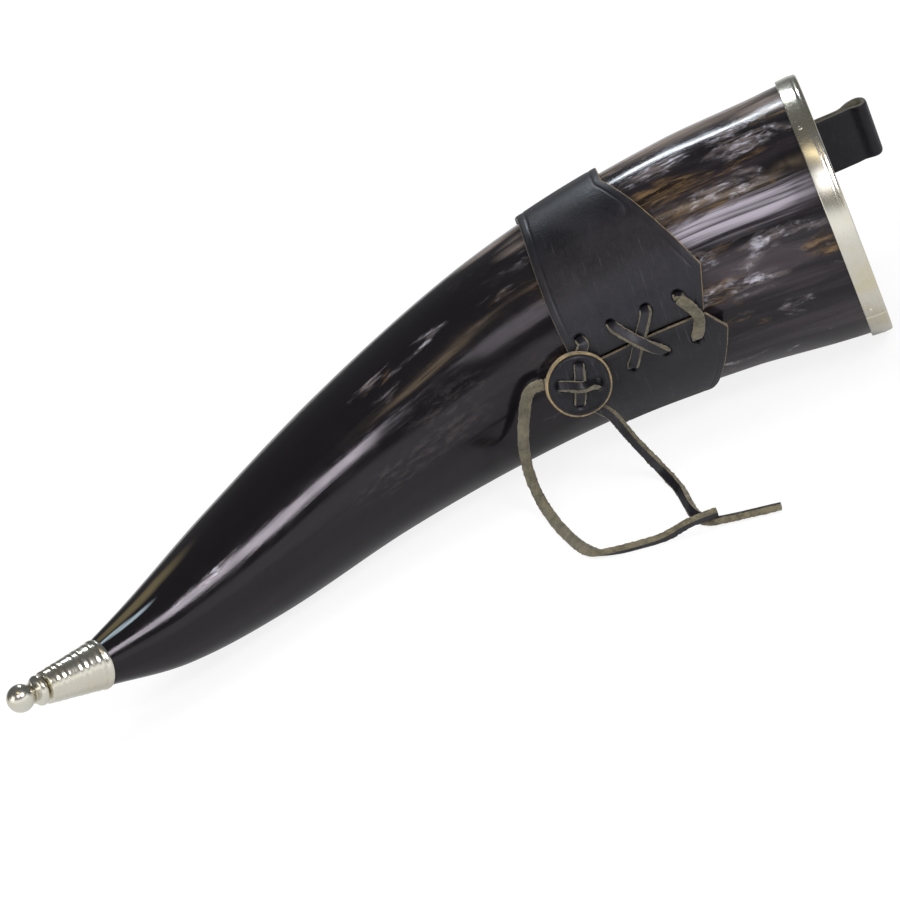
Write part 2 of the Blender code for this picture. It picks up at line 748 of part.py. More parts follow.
def belt_rivets():
    head_start = FIT * 1.3
    head_end = head_start + RIVET_HEAD_THICKNESS
    cap_start = tab_lift(1) + STRAP_LEATHER / 2 + FIT
    cap_end = cap_start + RIVET_HEAD_THICKNESS
    rim = RIVET_HEAD_RADIUS * 0.75
    profile = [
        (cap_end, 0),
        (cap_end - RIVET_HEAD_THICKNESS * 0.2, rim),
        (cap_start + RIVET_HEAD_THICKNESS * 0.3, RIVET_HEAD_RADIUS),
        (cap_start, RIVET_HEAD_RADIUS),
        (cap_start, RIVET_RADIUS),
        (head_end, RIVET_RADIUS),
        (head_end, RIVET_HEAD_RADIUS),
        (head_start, RIVET_HEAD_RADIUS),
        (head_start, 0),
    ]
    for i, (base, out) in enumerate(rivet_places()):
        piece = turned_piece(f"belt_rivet_{i + 1}", profile, 20, nickel, holder)
        piece.location = base
        piece.rotation_mode = "QUATERNION"
        piece.rotation_quaternion = out.to_track_quat("X", "Z")


def strap_frame():
    # Hinge line on the strap's outer face, the strap's run past the rim, its width and its normal
    start = on_horn(WRAP_BACK_EDGE - FIT, STRAP_ANGLE, tab_lift(1) + STRAP_LEATHER / 2)
    rim_radius = horn_radius(0) + FIT + BAND_SHEET
    under = tab_lift(1) - tab_lift(0) + STRAP_LEATHER
    over_rim = outward(0, STRAP_ANGLE) * (rim_radius + STRAP_RIM_GAP + under)
    run = over_rim - start
    normal = outward(0, STRAP_ANGLE)
    across = normal.cross(run).normalized()
    return start, run.normalized(), across, run.cross(across).normalized(), run.length


def belt_loop():
    start, run, across, normal, to_rim = strap_frame()
    half = STRAP_LEATHER / 2
    inner = -(tab_lift(1) - tab_lift(0)) - half
    pinched = inner + STRAP_LEATHER + FIT
    spread = inner + STRAP_LEATHER + BELT_GAP
    fold = to_rim + STRAP_PAST_RIM - FOLD_RADIUS - half
    side = [(0, inner), (to_rim * 0.25, inner), (to_rim * 0.5, inner), (to_rim * 0.75, inner)]
    side += [(to_rim, inner), (fold, inner)]
    for turn in steps(0, pi, 6)[1:-1]:
        side.append((fold + FOLD_RADIUS * sin(turn), inner + FOLD_RADIUS * (1 - cos(turn))))
    side += [
        (fold, inner + 2 * FOLD_RADIUS),
        (to_rim + FOLD_RADIUS, pinched + FIT),
        (to_rim * 0.9, pinched + FIT),
        (to_rim * 0.66, spread),
        (to_rim * 0.3, spread),
        (0, -half),
    ]
    points = [Vector((along, height, 0)) for along, height in side]
    route = smooth_route(points, STRAP_POINT_STEP)

    def point_at(column, row):
        along, height, _ = route[row]
        return run * along + normal * height + across * STRAP_WIDTH * (column - 0.5)

    piece = sheet("belt_loop", 1, len(route) - 1, point_at, STRAP_LEATHER, black_leather, holder)
    piece.location = start


def clear_scene():
    for old in list(bpy.data.objects):
        bpy.data.objects.remove(old)


clear_scene()
parts = new_collection("drinking_horn")
cutters = new_collection("drinking_horn_cutters")

horn = material("polished_horn", (0.02, 0.018, 0.018), 0.18)
nickel = material("nickel", (0.72, 0.68, 0.56), 0.22, 1.0)
black_leather = material("black_leather", (0.022, 0.022, 0.026), 0.5)
lace_leather = material("lace_leather", (0.06, 0.055, 0.045), 0.65)

station_places = station_distances()
horn_length = station_places[-1]

rest_pose = bpy.data.objects.new("rest_pose", None)
parts.objects.link(rest_pose)
rest_pose.rotation_euler = Euler((REST_ROLL, REST_PITCH, 0))
rest_pose.location = REST_LOCATION
holder = bpy.data.objects.new("holder", None)
parts.objects.link(holder)
holder.parent = rest_pose
holder.location = horn_centre((WRAP_BACK_EDGE + WRAP_TIP_EDGE) / 2)
bpy.context.view_layer.update()

horn_body()
rim_band()
rim_pins()
tip_ferrule()
finial_knob()
holder_wrap()
holder_button()
holder_lace()
lace_tail("lace_tail_1", BUTTON_TURN, TAIL_1_ANGLE, TAIL_1_ROUTE)
lace_tail("lace_tail_2", BUTTON_TURN + 1.5 * pi, TAIL_2_ANGLE, TAIL_2_ROUTE)
belt_loop_tab("belt_loop_tab_inner", 0)
belt_loop_tab("belt_loop_tab_outer", 1)
belt_rivets()
belt_loop()
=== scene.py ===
# Looks of a drinking horn in its laced leather belt holder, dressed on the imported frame.
# Shapes are worked out in mm in the horn's own frame, and laid in the world by onGround.

from math import cos, pi, radians, sin, sqrt

import bmesh
import bpy
import numpy as np
from mathutils import Euler, Matrix, Quaternion, Vector, noise


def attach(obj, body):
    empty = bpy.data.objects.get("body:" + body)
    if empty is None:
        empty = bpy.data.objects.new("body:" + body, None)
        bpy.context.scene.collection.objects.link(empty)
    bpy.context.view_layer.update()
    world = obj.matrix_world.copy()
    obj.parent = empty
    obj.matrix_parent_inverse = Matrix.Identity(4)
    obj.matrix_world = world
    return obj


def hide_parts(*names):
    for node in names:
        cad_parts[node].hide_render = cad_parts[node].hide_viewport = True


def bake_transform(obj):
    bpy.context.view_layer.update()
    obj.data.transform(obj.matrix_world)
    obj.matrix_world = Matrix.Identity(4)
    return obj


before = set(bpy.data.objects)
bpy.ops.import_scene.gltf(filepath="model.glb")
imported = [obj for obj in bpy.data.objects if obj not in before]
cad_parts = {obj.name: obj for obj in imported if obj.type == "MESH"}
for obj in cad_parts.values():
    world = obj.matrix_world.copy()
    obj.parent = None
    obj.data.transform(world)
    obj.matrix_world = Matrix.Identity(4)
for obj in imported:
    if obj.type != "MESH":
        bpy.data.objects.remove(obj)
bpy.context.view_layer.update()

mm = 0.001
fit = 0.3        # mm between pieces that touch
ground = 0.05    # mm over the floor, where the lace lies
layRadius = 36   # mm, the even tube on which the horn's marks are laid

hornLine = {
    "reach": 240,           # mouth to tip
    "sweep": 101,           # towards the lacing
    "stations": (           # share of the reach, share of the sweep, rise, radius
        (0, 0, 0, 40),
        (0.042, 0, 0, 39.4),
        (0.171, 0.02, 2, 37),
        (0.342, 0.059, 1, 33.5),
        (0.5, 0.153, -1, 29.5),
        (0.663, 0.347, -1, 24.5),
        (0.821, 0.624, 1, 19),
        (0.921, 0.842, 6, 13.4),
        (1, 1, 12.5, 6.8),
    ),
    "wall": 3.2,
    "boreDepth": 170,
    "boreRounding": 50,
    "tipLean": 0.15,
    "roll": 8.46,           # degrees, as it lies
    "pitch": -3.81,
    "place": (122, 36.25, 41.06),
}


# Small helpers

def unit(vectors):
    return vectors / np.linalg.norm(vectors, axis=-1, keepdims=True)


def swell(distance, place, width, rise):
    # A soft rise, or a dip where it is negative, at a distance
    return rise * np.exp(-((distance - place) / width) ** 2)


def ease(values, low, high):
    share = np.clip((np.asarray(values, float) - low) / (high - low), 0, 1)
    return share * share * (3 - 2 * share)


def roundAngles(count):
    return np.linspace(0, 2 * pi, count, endpoint=False)


def spokes(angles, first, second):
    return np.cos(angles)[..., None] * first + np.sin(angles)[..., None] * second


def onTube(along, angles, radius):
    # Places on a straight tube or turned shape
    return np.stack(np.broadcast_arrays(along, radius * np.cos(angles), radius * np.sin(angles)), -1)


def wobble(points, size, seed):
    # Smooth noise read at points in mm, about -1 to 1
    flat = np.asarray(points, float).reshape(-1, 3) / size + seed * 7.31
    values = [noise.noise(Vector(point)) for point in flat]
    return np.array(values).reshape(np.asarray(points).shape[:-1])


def hermite(places, values, at, firstSlope=None):
    # Smooth curve through values, read at many places; a first slope holds at the first two
    slopes = np.empty_like(values)
    slopes[1:-1] = (values[2:] - values[:-2]) / (places[2:] - places[:-2])[:, None]
    slopes[0] = (values[1] - values[0]) / (places[1] - places[0])
    slopes[-1] = (values[-1] - values[-2]) / (places[-1] - places[-2])
    if firstSlope is not None:
        slopes[:2] = firstSlope
    i = np.clip(np.searchsorted(places, at, side="right") - 1, 0, len(places) - 2)
    width = (places[i + 1] - places[i])[:, None]
    t = (at - places[i])[:, None] / width
    return (
        (2 * t**3 - 3 * t**2 + 1) * values[i]
        + (t**3 - 2 * t**2 + t) * width * slopes[i]
        + (3 * t**2 - 2 * t**3) * values[i + 1]
        + (t**3 - t**2) * width * slopes[i + 1]
    )


def runLengths(points):
    # Distance along a line to each of its points
    return np.concatenate([[0], np.cumsum(np.linalg.norm(np.diff(points, axis=0), axis=1))])


def smoothRoute(points, step, extras=None):
    # Even points on a smooth curve through the route's own points, with values carried along
    points = np.array(points, float)
    places = runLengths(points)
    at = np.linspace(0, places[-1], max(3, round(places[-1] / step)) + 1)
    route = hermite(places, points, at)
    if extras is None:
        return route
    return route, np.stack([np.interp(at, places, values) for values in np.array(extras, float).T], 1)


def softened(profile, cut):
    # A profile with each corner turned into a small curve that stays within half of each side
    rounded = [profile[0]]
    for before, corner, after in zip(profile, profile[1:], profile[2:]):
        sides = np.array((before, after), float) - corner
        lengths = np.linalg.norm(sides, axis=1, keepdims=True)
        inward, onward = sides * (np.minimum(cut, 0.45 * lengths) / np.maximum(lengths, 1e-9))
        for t in (0, 0.25, 0.5, 0.75, 1):
            rounded.append(tuple(np.array(corner) + inward * (1 - t) ** 2 + onward * t**2))
    return rounded + [profile[-1]]


# The horn's line: centre, directions and radius at any distance from the mouth

stations = np.array(hornLine["stations"], float)
stationCentres = stations[:, :3] * (-hornLine["reach"], -hornLine["sweep"], 1)
stationPlaces = runLengths(stationCentres)
hornLength = stationPlaces[-1]
onGround = Matrix.Translation(Vector(hornLine["place"]) * mm)
onGround = onGround @ Euler((radians(hornLine["roll"]), radians(hornLine["pitch"]), 0)).to_matrix().to_4x4()
onGround = np.array(onGround)


def toWorld(points):
    return np.asarray(points) * mm @ onGround[:3, :3].T + onGround[:3, 3]


def turnToWorld(vectors):
    return np.asarray(vectors) @ onGround[:3, :3].T


def hornCentre(along):
    return hermite(stationPlaces, stationCentres, along, (-1, 0, 0))


def hornAt(along):
    along = np.asarray(along, float).ravel()
    toTip = unit(hornCentre(along + 0.5) - hornCentre(along - 0.5))
    front = unit(np.array((0, -1, 0)) + toTip * toTip[:, 1:2])
    radius = hermite(stationPlaces, stations[:, 3:], along)[:, 0]
    return hornCentre(along), toTip, front, np.cross(toTip, front), radius


def outward(along, angle):
    along, angle = np.broadcast_arrays(np.asarray(along, float), angle)
    _, _, front, up, _ = hornAt(along)
    return spokes(angle.ravel(), front, up).reshape(*along.shape, 3)


def onHorn(along, angle, lift):
    along, angle, lift = np.broadcast_arrays(np.asarray(along, float), angle, lift)
    centre, _, _, _, radius = hornAt(along)
    out = outward(along, angle).reshape(-1, 3)
    return (centre + out * (radius + lift.ravel())[:, None]).reshape(*along.shape, 3)


def hornRadius(along):
    return hornAt(along)[4]


# Meshes

def smooth(mesh, crease):
    mesh.shade_smooth()
    mesh.set_sharp_from_angle(angle=radians(crease))


def gridMesh(name, points, finishes, wrapAround=False, finishOf=None, lay=None, crease=40):
    # A piece from a grid of points in world metres; lay holds each point's place on the material
    rows, columns = points.shape[:2]
    index = np.arange(rows * columns).reshape(rows, columns)
    if wrapAround:
        index = np.concatenate([index, index[:, :1]], 1)
    faces = np.stack([index[:-1, :-1], index[:-1, 1:], index[1:, 1:], index[1:, :-1]], -1)
    mesh = bpy.data.meshes.new(name)
    mesh.from_pydata(points.reshape(-1, 3).tolist(), [], faces.reshape(-1, 4).tolist())
    if lay is not None:
        laid = mesh.attributes.new("lay", "FLOAT_VECTOR", "POINT")
        laid.data.foreach_set("vector", np.ascontiguousarray(lay, dtype=np.float32).ravel())
    for finish in finishes:
        mesh.materials.append(finish)
    if finishOf is not None:
        mesh.polygons.foreach_set("material_index", np.asarray(finishOf, dtype=np.int32).ravel())
    shell = bmesh.new()
    shell.from_mesh(mesh)
    bmesh.ops.remove_doubles(shell, verts=shell.verts, dist=1e-6)
    bmesh.ops.recalc_face_normals(shell, faces=shell.faces)
    shell.to_mesh(mesh)
    shell.free()
    smooth(mesh, crease)
    piece = bpy.data.objects.new(name, mesh)
    bpy.context.scene.collection.objects.link(piece)
    return piece


def closeEnds(piece, finishIndex, crease):
    # Fills the two open ends of a shell
    shell = bmesh.new()
    shell.from_mesh(piece.data)
    gaps = [edge for edge in shell.edges if edge.is_boundary]
    filled = bmesh.ops.holes_fill(shell, edges=gaps, sides=0)
    for face in filled["faces"]:
        face.material_index = finishIndex
    bmesh.ops.triangulate(shell, faces=filled["faces"])
    bmesh.ops.recalc_face_normals(shell, faces=shell.faces)
    shell.to_mesh(piece.data)
    shell.free()
    smooth(piece.data, crease)


def turned(name, profile, start, axis, finish, sides, crease=40):
    # A profile of (along, radius) in mm turned about an axis given in the horn's frame
    axis = unit(np.array(axis, float))
    side = unit(np.cross(axis, (0, 0, 1) if abs(axis[2]) < 0.9 else (0, 1, 0)))
    angles = roundAngles(sides)
    along, radius = np.array(profile, float).T[:, :, None]
    out = radius[..., None] * spokes(angles, side, np.cross(axis, side))
    points = np.array(start, float) + along[..., None] * axis + out
    lay = onTube(along, angles, radius)
    return gridMesh(name, toWorld(points), [finish], wrapAround=True, lay=lay, crease=crease)


def dress(piece, body, slot, *nodes):
    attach(piece, body)
    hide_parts(*nodes)


# Shader nodes

def feed(tree, node, inputs):
    # Links what comes from another node, and sets plain values
    for key, value in inputs.items():
        if isinstance(value, bpy.types.NodeSocket):
            tree.links.new(value, node.inputs[key])
        else:
            node.inputs[key].default_value = value


def put(tree, kind, inputs=None, **settings):
    node = tree.nodes.new(kind)
    for key, value in settings.items():
        setattr(node, key, value)
    feed(tree, node, inputs or {})
    return node


def vectorMath(tree, operation, a, b=(0, 0, 0)):
    return put(tree, "ShaderNodeVectorMath", {0: a, 1: b}, operation=operation).outputs


def scaled(tree, vector, size):
    return vectorMath(tree, "MULTIPLY", vector, size)[0]


def noiseAt(tree, vector, scale=1.0, detail=3.0, rough=0.5, warp=0.0):
    inputs = {"Vector": vector, "Scale": scale, "Detail": detail, "Roughness": rough, "Distortion": warp}
    return put(tree, "ShaderNodeTexNoise", inputs).outputs["Fac"]


def between(tree, value, low, high, toLow=0.0, toHigh=1.0):
    inputs = {"Value": value, "From Min": low, "From Max": high, "To Min": toLow, "To Max": toHigh}
    return put(tree, "ShaderNodeMapRange", inputs, interpolation_type="SMOOTHSTEP").outputs[0]


def math(tree, operation, a, b=0.0):
    return put(tree, "ShaderNodeMath", {0: a, 1: b}, operation=operation).outputs[0]


def times(tree, a, b):
    return math(tree, "MULTIPLY", a, b)


def mixed(tree, share, a, b):
    return put(tree, "ShaderNodeMix", {0: share, 6: a, 7: b}, data_type="RGBA").outputs[2]


def laid(tree):
    return put(tree, "ShaderNodeAttribute", attribute_name="lay").outputs["Vector"]


def newGroup(name, inputs, outputs):
    group = bpy.data.node_groups.new(name, "ShaderNodeTree")
    for title, kind, value in inputs:
        socket = group.interface.new_socket(title, in_out="INPUT", socket_type=kind)
        if value is not None:
            socket.default_value = value
    for title in outputs:
        group.interface.new_socket(title, in_out="OUTPUT", socket_type="NodeSocketFloat")
    return group, group.nodes.new("NodeGroupInput"), group.nodes.new("NodeGroupOutput")


def useGroup(tree, group, inputs):
    return put(tree, "ShaderNodeGroup", inputs, node_tree=group).outputs


def leatherGrainGroup():
    # Fine pebbled grain with pores and a slow change of tone; Place is in mm
    inputs = [("Place", "NodeSocketVector", None), ("Pebble", "NodeSocketFloat", 0.8)]
    group, given, sent = newGroup("leatherGrain", inputs, ["Height", "Tone"])
    place = given.outputs["Place"]
    cells = put(group, "ShaderNodeTexVoronoi", {"Vector": place, "Scale": 1.3}, feature="SMOOTH_F1")
    cells.inputs["Smoothness"].default_value = 0.6
    pebble = times(group, cells.outputs["Distance"], given.outputs["Pebble"])
    fine = times(group, noiseAt(group, place, 3.2, 4), 0.5)
    slow = times(group, noiseAt(group, place, 0.07, 4, 0.6, 0.5), 0.6)
    mottle = times(group, noiseAt(group, place, 0.45, 5, 0.7, 0.4), 0.4)
    tone = between(group, math(group, "ADD", slow, mottle), 0.36, 0.64)
    feed(group, sent, {"Height": math(group, "ADD", pebble, fine), "Tone": tone})
    return group


def fineScratchesGroup():
    # Hairline marks in a few directions, and a cloudy wear mask
    inputs = [("Place", "NodeSocketVector", None), ("Stretch", "NodeSocketVector", (0.08, 2.4, 2.4))]
    group, given, sent = newGroup("fineScratches", inputs, ["Height", "Wear"])
    place = given.outputs["Place"]
    lines = noiseAt(group, scaled(group, place, given.outputs["Stretch"]), 1.0, 5, 0.7, 0.2)
    cloud = noiseAt(group, place, 0.09, 4, 0.6)
    feed(group, sent, {"Height": between(group, lines, 0.55, 0.75), "Wear": between(group, cloud, 0.35, 0.7)})
    return group


def rawFibreGroup():
    # Loose fibres of cut or split leather
    group, given, sent = newGroup("rawFibre", [("Place", "NodeSocketVector", None)], ["Height", "Tone"])
    place = given.outputs["Place"]
    fibres = noiseAt(group, scaled(group, place, (0.9, 2.6, 2.6)), 1.4, 6, 0.75, 1.2)
    clumps = noiseAt(group, place, 0.35, 4, 0.6)
    tone = math(group, "ADD", times(group, fibres, 0.6), times(group, clumps, 0.4))
    feed(group, sent, {"Height": fibres, "Tone": between(group, tone, 0.34, 0.66)})
    return group


def patchGroup():
    # Share of 1 at a centre, soft to 0 at the reach
    inputs = [(title, "NodeSocketVector", None) for title in ("Place", "Centre", "Reach")]
    group, given, sent = newGroup("gatheringPlace", inputs, ["Share"])
    away = vectorMath(group, "SUBTRACT", given.outputs["Place"], given.outputs["Centre"])[0]
    far = vectorMath(group, "LENGTH", vectorMath(group, "DIVIDE", away, given.outputs["Reach"])[0])["Value"]
    feed(group, sent, {"Share": between(group, far, 0.35, 1.25, 1.0, 0.0)})
    return group


patch = patchGroup()
grain = leatherGrainGroup()
scratches = fineScratchesGroup()
fibre = rawFibreGroup()


def newFinish(name):
    made = bpy.data.materials.new(name)
    made.use_nodes = True
    return made, made.node_tree, made.node_tree.nodes["Principled BSDF"]


def roughen(tree, shader, height, strength, distance):
    inputs = {"Height": height, "Strength": strength, "Distance": distance * mm}
    feed(tree, shader, {"Normal": put(tree, "ShaderNodeBump", inputs).outputs[0]})


def placeInMm(tree):
    return scaled(tree, put(tree, "ShaderNodeTexCoord").outputs["Object"], (1000, 1000, 1000))


hornFinish = {
    "black": (0.0045, 0.004, 0.005, 1),
    "smoke": (0.038, 0.031, 0.036, 1),
    "umber": (0.009, 0.006, 0.004, 1),
    "amber": (0.12, 0.076, 0.034, 1),
    "sliver": (0.12, 0.102, 0.1, 1),
    "pale": (0.42, 0.42, 0.48, 1),
    "veil": (0.2, 0.165, 0.145, 1),
    # Lilac band near the mouth: real pale streaks, made brighter to stand in for part of the highlight there
    # (painted highlight)
    "lilacAndPaintedHighlight": (0.24, 0.222, 0.255, 1),
    "ghost": (0.027, 0.023, 0.023, 1),
    # Painted reflection: an olive band of gloss on the tip, put into the colour
    "olivePaintedReflection": (0.07, 0.058, 0.031, 1),
    # Painted reflection: a light blue line of gloss on the tip, put into the colour
    "paintedBlueReflection": (0.19, 0.24, 0.265, 1),
    # Painted shade: the smoke thins on the horn's upper side as it lies, so the top is painted darker
    "paintedShadeAbove": (16, 30, 1.0, 0.35),   # mm over the horn's middle where smoke thins, and its shares there
    "thinning": (60, 125, 1.0, 0.0),     # mm from the mouth where the marks thin out
    "dullRim": (10, 30, 1.45, 1.0),      # mm from the mouth where the horn is less polished
    "leastSmoke": 0.1,
    "pull": 0.17,                        # how far a gathering place raises its noise
    "roughness": 0.11, "insideRoughness": 0.38, "wornRoughness": 1.6,
    "relief": 0.07, "insideRelief": 0.25, "reliefDepth": 0.25, "bandRelief": 2.0,
    "scratchRun": (0.05, 1.6, 1.6),
    "ior": 1.41, "glossTint": (1, 0.93, 0.99, 1),
    # Noises: stretch along and round, scale, detail, roughness, warp
    "noises": {
        "bands": ((0.009, 0.12, 0.12), 1.0, 4, 0.58, 0.3),
        "clouds": ((0.035, 0.11, 0.11), 1.0, 5, 0.62, 0.5),
        "fibres": ((0.1, 0.62, 0.62), 1.0, 7, 0.7, 0.7),
        "flecks": ((0.2, 0.5, 0.5), 1.0, 6, 0.62, 0.4),
        "swarms": ((0.035, 0.1, 0.1), 1.3, 4, 0.55, 0.6),
        "lines": ((0.01, 0.5, 0.5), 1.0, 4, 0.6, 0.3),
    },
    # Which noise shows each mark, where in it the mark begins and where it is full
    "shown": {
        "smoke": ("bands", 0.4, 0.7), "veil": ("bands", 0.3, 0.62), "ghost": ("flecks", 0.42, 0.72),
        "lilacAndPaintedHighlight": ("lines", 0.38, 0.6), "brown": ("clouds", 0.57, 0.74), "amber": ("fibres", 0.4, 0.66),
        "crowd": ("swarms", 0.56, 0.78), "sliver": ("fibres", 0.36, 0.66), "pale": ("flecks", 0.49, 0.72),
    },
    # Where marks gather: mm from the mouth, degrees round, reach along and round in mm
    "gathered": {
        "brown": (
            (48, 68, 20, 8), (12, 90, 16, 5), (60, 112, 14, 9), (10, 19, 12, 4), (50, 14, 12, 4),
            (155, 74, 12, 5), (40, 190, 40, 22), (70, 250, 45, 16),
        ),
        "pale": (
            (36, 84, 32, 8), (46, 36, 14, 7), (40, 15, 18, 6), (62, 104, 12, 5), (151, 79, 12, 5),
            (138, 74, 14, 4), (155, 60, 10, 4), (28, -2, 12, 3), (30, 58, 16, 5), (30, 150, 34, 12),
            (45, 235, 36, 14), (236, 57, 16, 5),
        ),
        "ghost": ((148, 16, 22, 7), (140, 33, 18, 6), (166, 14, 20, 7)),
        "veil": ((34, 112, 30, 9), (98, 112, 14, 5), (60, 200, 30, 14), (90, 92, 10, 5), (13, 98, 14, 4)),
        # Lilac band: partly painted highlight
        "lilacAndPaintedHighlight": ((34, 45, 32, 6), (30, 215, 34, 7)),
        # Painted reflection: where the olive band of gloss lies on the tip
        "olivePaintedReflection": ((256, 101, 26, 6),),
        # Painted reflection: where the light blue line of gloss lies on the tip
        "paintedBlueReflection": ((268, 87, 9, 2.3), (260, 83, 9, 2.3)),
    },
}


def gatheredShare(tree, lay, kind):
    # Share of a kind of mark at a place: the most that any of its gathering places gives
    total = None
    for along, degrees, reachAlong, reachRound in hornFinish["gathered"][kind]:
        centre = (along, layRadius * cos(radians(degrees)), layRadius * sin(radians(degrees)))
        inputs = {"Place": lay, "Centre": centre, "Reach": (reachAlong, reachRound, reachRound)}
        share = useGroup(tree, patch, inputs)["Share"]
        total = share if total is None else math(tree, "MAXIMUM", total, share)
    return total


def polishedHorn(name, inside=False):
    made, tree, shader = newFinish(name)
    lay = laid(tree)
    along, _, height = put(tree, "ShaderNodeSeparateXYZ", {0: lay}).outputs
    nearMouth = between(tree, along, *hornFinish["thinning"])
    noises = {
        kind: noiseAt(tree, scaled(tree, lay, stretch), *shape)
        for kind, (stretch, *shape) in hornFinish["noises"].items()
    }
    gathered = {kind: gatheredShare(tree, lay, kind) for kind in hornFinish["gathered"]}

    def shown(mark, raisedBy=None):
        kind, low, high = hornFinish["shown"][mark]
        value = noises[kind]
        if raisedBy is not None:
            value = math(tree, "ADD", value, times(tree, raisedBy, hornFinish["pull"]))
        return between(tree, value, low, high)

    def placed(mark):
        return times(tree, shown(mark), gathered[mark])

    def crowded(mark, places):
        # Marks near the mouth and at their gathering places, thickest there
        return times(tree, shown(mark, places), math(tree, "MAXIMUM", nearMouth, places))

    smoke = times(tree, shown("smoke"), math(tree, "MAXIMUM", nearMouth, hornFinish["leastSmoke"]))
    crowd = crowded("crowd", gathered["pale"])
    # Laid over black one after another: smoky bands, thinner on the upper side as painted shade, streaks, an
    # olive and a light blue painted reflection on the tip, a lilac band brightened as painted highlight,
    # brown clouds of fibres, broken pale flecks
    shares = {
        "smoke": times(tree, smoke, between(tree, height, *hornFinish["paintedShadeAbove"])),
        "veil": placed("veil"),
        "olivePaintedReflection": gathered["olivePaintedReflection"],
        "paintedBlueReflection": gathered["paintedBlueReflection"],
        "ghost": placed("ghost"),
        "lilacAndPaintedHighlight": placed("lilacAndPaintedHighlight"),
        "brown": crowded("brown", gathered["brown"]),
        "sliver": times(tree, shown("sliver"), crowd),
        "pale": times(tree, shown("pale"), crowd),
    }
    brown = mixed(tree, shown("amber"), hornFinish["umber"], hornFinish["amber"])
    tones = {**hornFinish, "brown": brown}
    colour = hornFinish["black"]
    for mark, share in shares.items():
        colour = mixed(tree, share, colour, tones[mark])
    marks = useGroup(tree, scratches, {"Place": lay, "Stretch": hornFinish["scratchRun"]})
    rough = hornFinish["insideRoughness" if inside else "roughness"]
    worn = between(tree, marks["Wear"], 0, 1, rough, rough * hornFinish["wornRoughness"])
    feed(tree, shader, {
        "Base Color": colour, "Roughness": times(tree, worn, between(tree, along, *hornFinish["dullRim"])),
        "IOR": hornFinish["ior"], "Specular Tint": hornFinish["glossTint"],
    })
    height = math(tree, "ADD", marks["Height"], times(tree, noises["bands"], hornFinish["bandRelief"]))
    relief = hornFinish["insideRelief" if inside else "relief"]
    roughen(tree, shader, height, relief, hornFinish["reliefDepth"])
    return made


nickelFinish = {
    "pale": (0.72, 0.7, 0.62, 1),
    "warm": (0.68, 0.62, 0.44, 1),
    "scratchRun": (1.1, 1.1, 0.3),
    "roughness": 0.24, "scratchedRoughness": 1.5,
    "relief": 0.006, "reliefDepth": 0.1,
}


def polishedNickel(name, warmth):
    made, tree, shader = newFinish(name)
    marks = useGroup(tree, scratches, {"Place": placeInMm(tree), "Stretch": nickelFinish["scratchRun"]})
    warm = times(tree, marks["Wear"], warmth)
    rough = nickelFinish["roughness"]
    feed(tree, shader, {
        "Base Color": mixed(tree, warm, nickelFinish["pale"], nickelFinish["warm"]),
        "Metallic": 1,
        "Roughness": between(tree, marks["Height"], 0, 1, rough, rough * nickelFinish["scratchedRoughness"]),
    })
    roughen(tree, shader, marks["Height"], nickelFinish["relief"], nickelFinish["reliefDepth"])
    return made


leatherFinish = {
    "dark": (0.004, 0.004, 0.0056, 1),
    "worn": (0.009, 0.0083, 0.011, 1),
    "scuffed": (0.05, 0.047, 0.056, 1),
    "scuffRun": (1.5, 0.1, 0.1),   # scuffs run round the horn
    "pebble": 0.8,
    "roughness": (0.38, 0.47),
    "glossTint": (0.95, 0.94, 1, 1),
    "relief": 0.34, "reliefDepth": 0.12,
}


def blackLeather(name, tone=1.0, gloss=0.44):
    made, tree, shader = newFinish(name)
    place = placeInMm(tree)
    hide = useGroup(tree, grain, {"Place": place, "Pebble": leatherFinish["pebble"]})
    scuffs = useGroup(tree, scratches, {"Place": place, "Stretch": leatherFinish["scuffRun"]})
    dark, worn = ((*(c * tone for c in leatherFinish[shade][:3]), 1) for shade in ("dark", "worn"))
    colour = mixed(tree, hide["Tone"], dark, worn)
    scuffed = times(tree, scuffs["Height"], scuffs["Wear"])
    feed(tree, shader, {
        "Base Color": mixed(tree, scuffed, colour, leatherFinish["scuffed"]),
        "Roughness": between(tree, hide["Tone"], 0, 1, *leatherFinish["roughness"]),
        "Specular IOR Level": gloss, "Specular Tint": leatherFinish["glossTint"],
    })
    roughen(tree, shader, hide["Height"], leatherFinish["relief"], leatherFinish["reliefDepth"])
    return made


rawFinish = {   # dark and light tone of each raw side
    "edge": ((0.018, 0.014, 0.008, 1), (0.24, 0.17, 0.075, 1)),
    # Button's cut edge: raw leather like the wrap's edge, toned lighter as painted light on it
    "buttonEdgeWithPaintedLight": ((0.05, 0.038, 0.018, 1), (0.3, 0.22, 0.1, 1)),
    # The wrap's cut edge on the tip side, in a dark tone
    "darkTipEdge": ((0.006, 0.006, 0.006, 1), (0.07, 0.055, 0.03, 1)),
    "flesh": ((0.034, 0.031, 0.019, 1), (0.14, 0.127, 0.082, 1)),
    "laceEdge": ((0.03, 0.026, 0.015, 1), (0.16, 0.138, 0.082, 1)),
    "strapEdge": ((0.011, 0.01, 0.0065, 1), (0.058, 0.052, 0.035, 1)),
    "roughness": 0.88, "sheen": 0.15,
    "relief": 0.6, "reliefDepth": 0.3,
}


def rawLeather(name, tones):
    made, tree, shader = newFinish(name)
    hairs = useGroup(tree, fibre, {"Place": placeInMm(tree)})
    feed(tree, shader, {
        "Base Color": mixed(tree, hairs["Tone"], *tones), "Roughness": rawFinish["roughness"],
        "Sheen Weight": rawFinish["sheen"],
    })
    roughen(tree, shader, hairs["Height"], rawFinish["relief"], rawFinish["reliefDepth"])
    return made


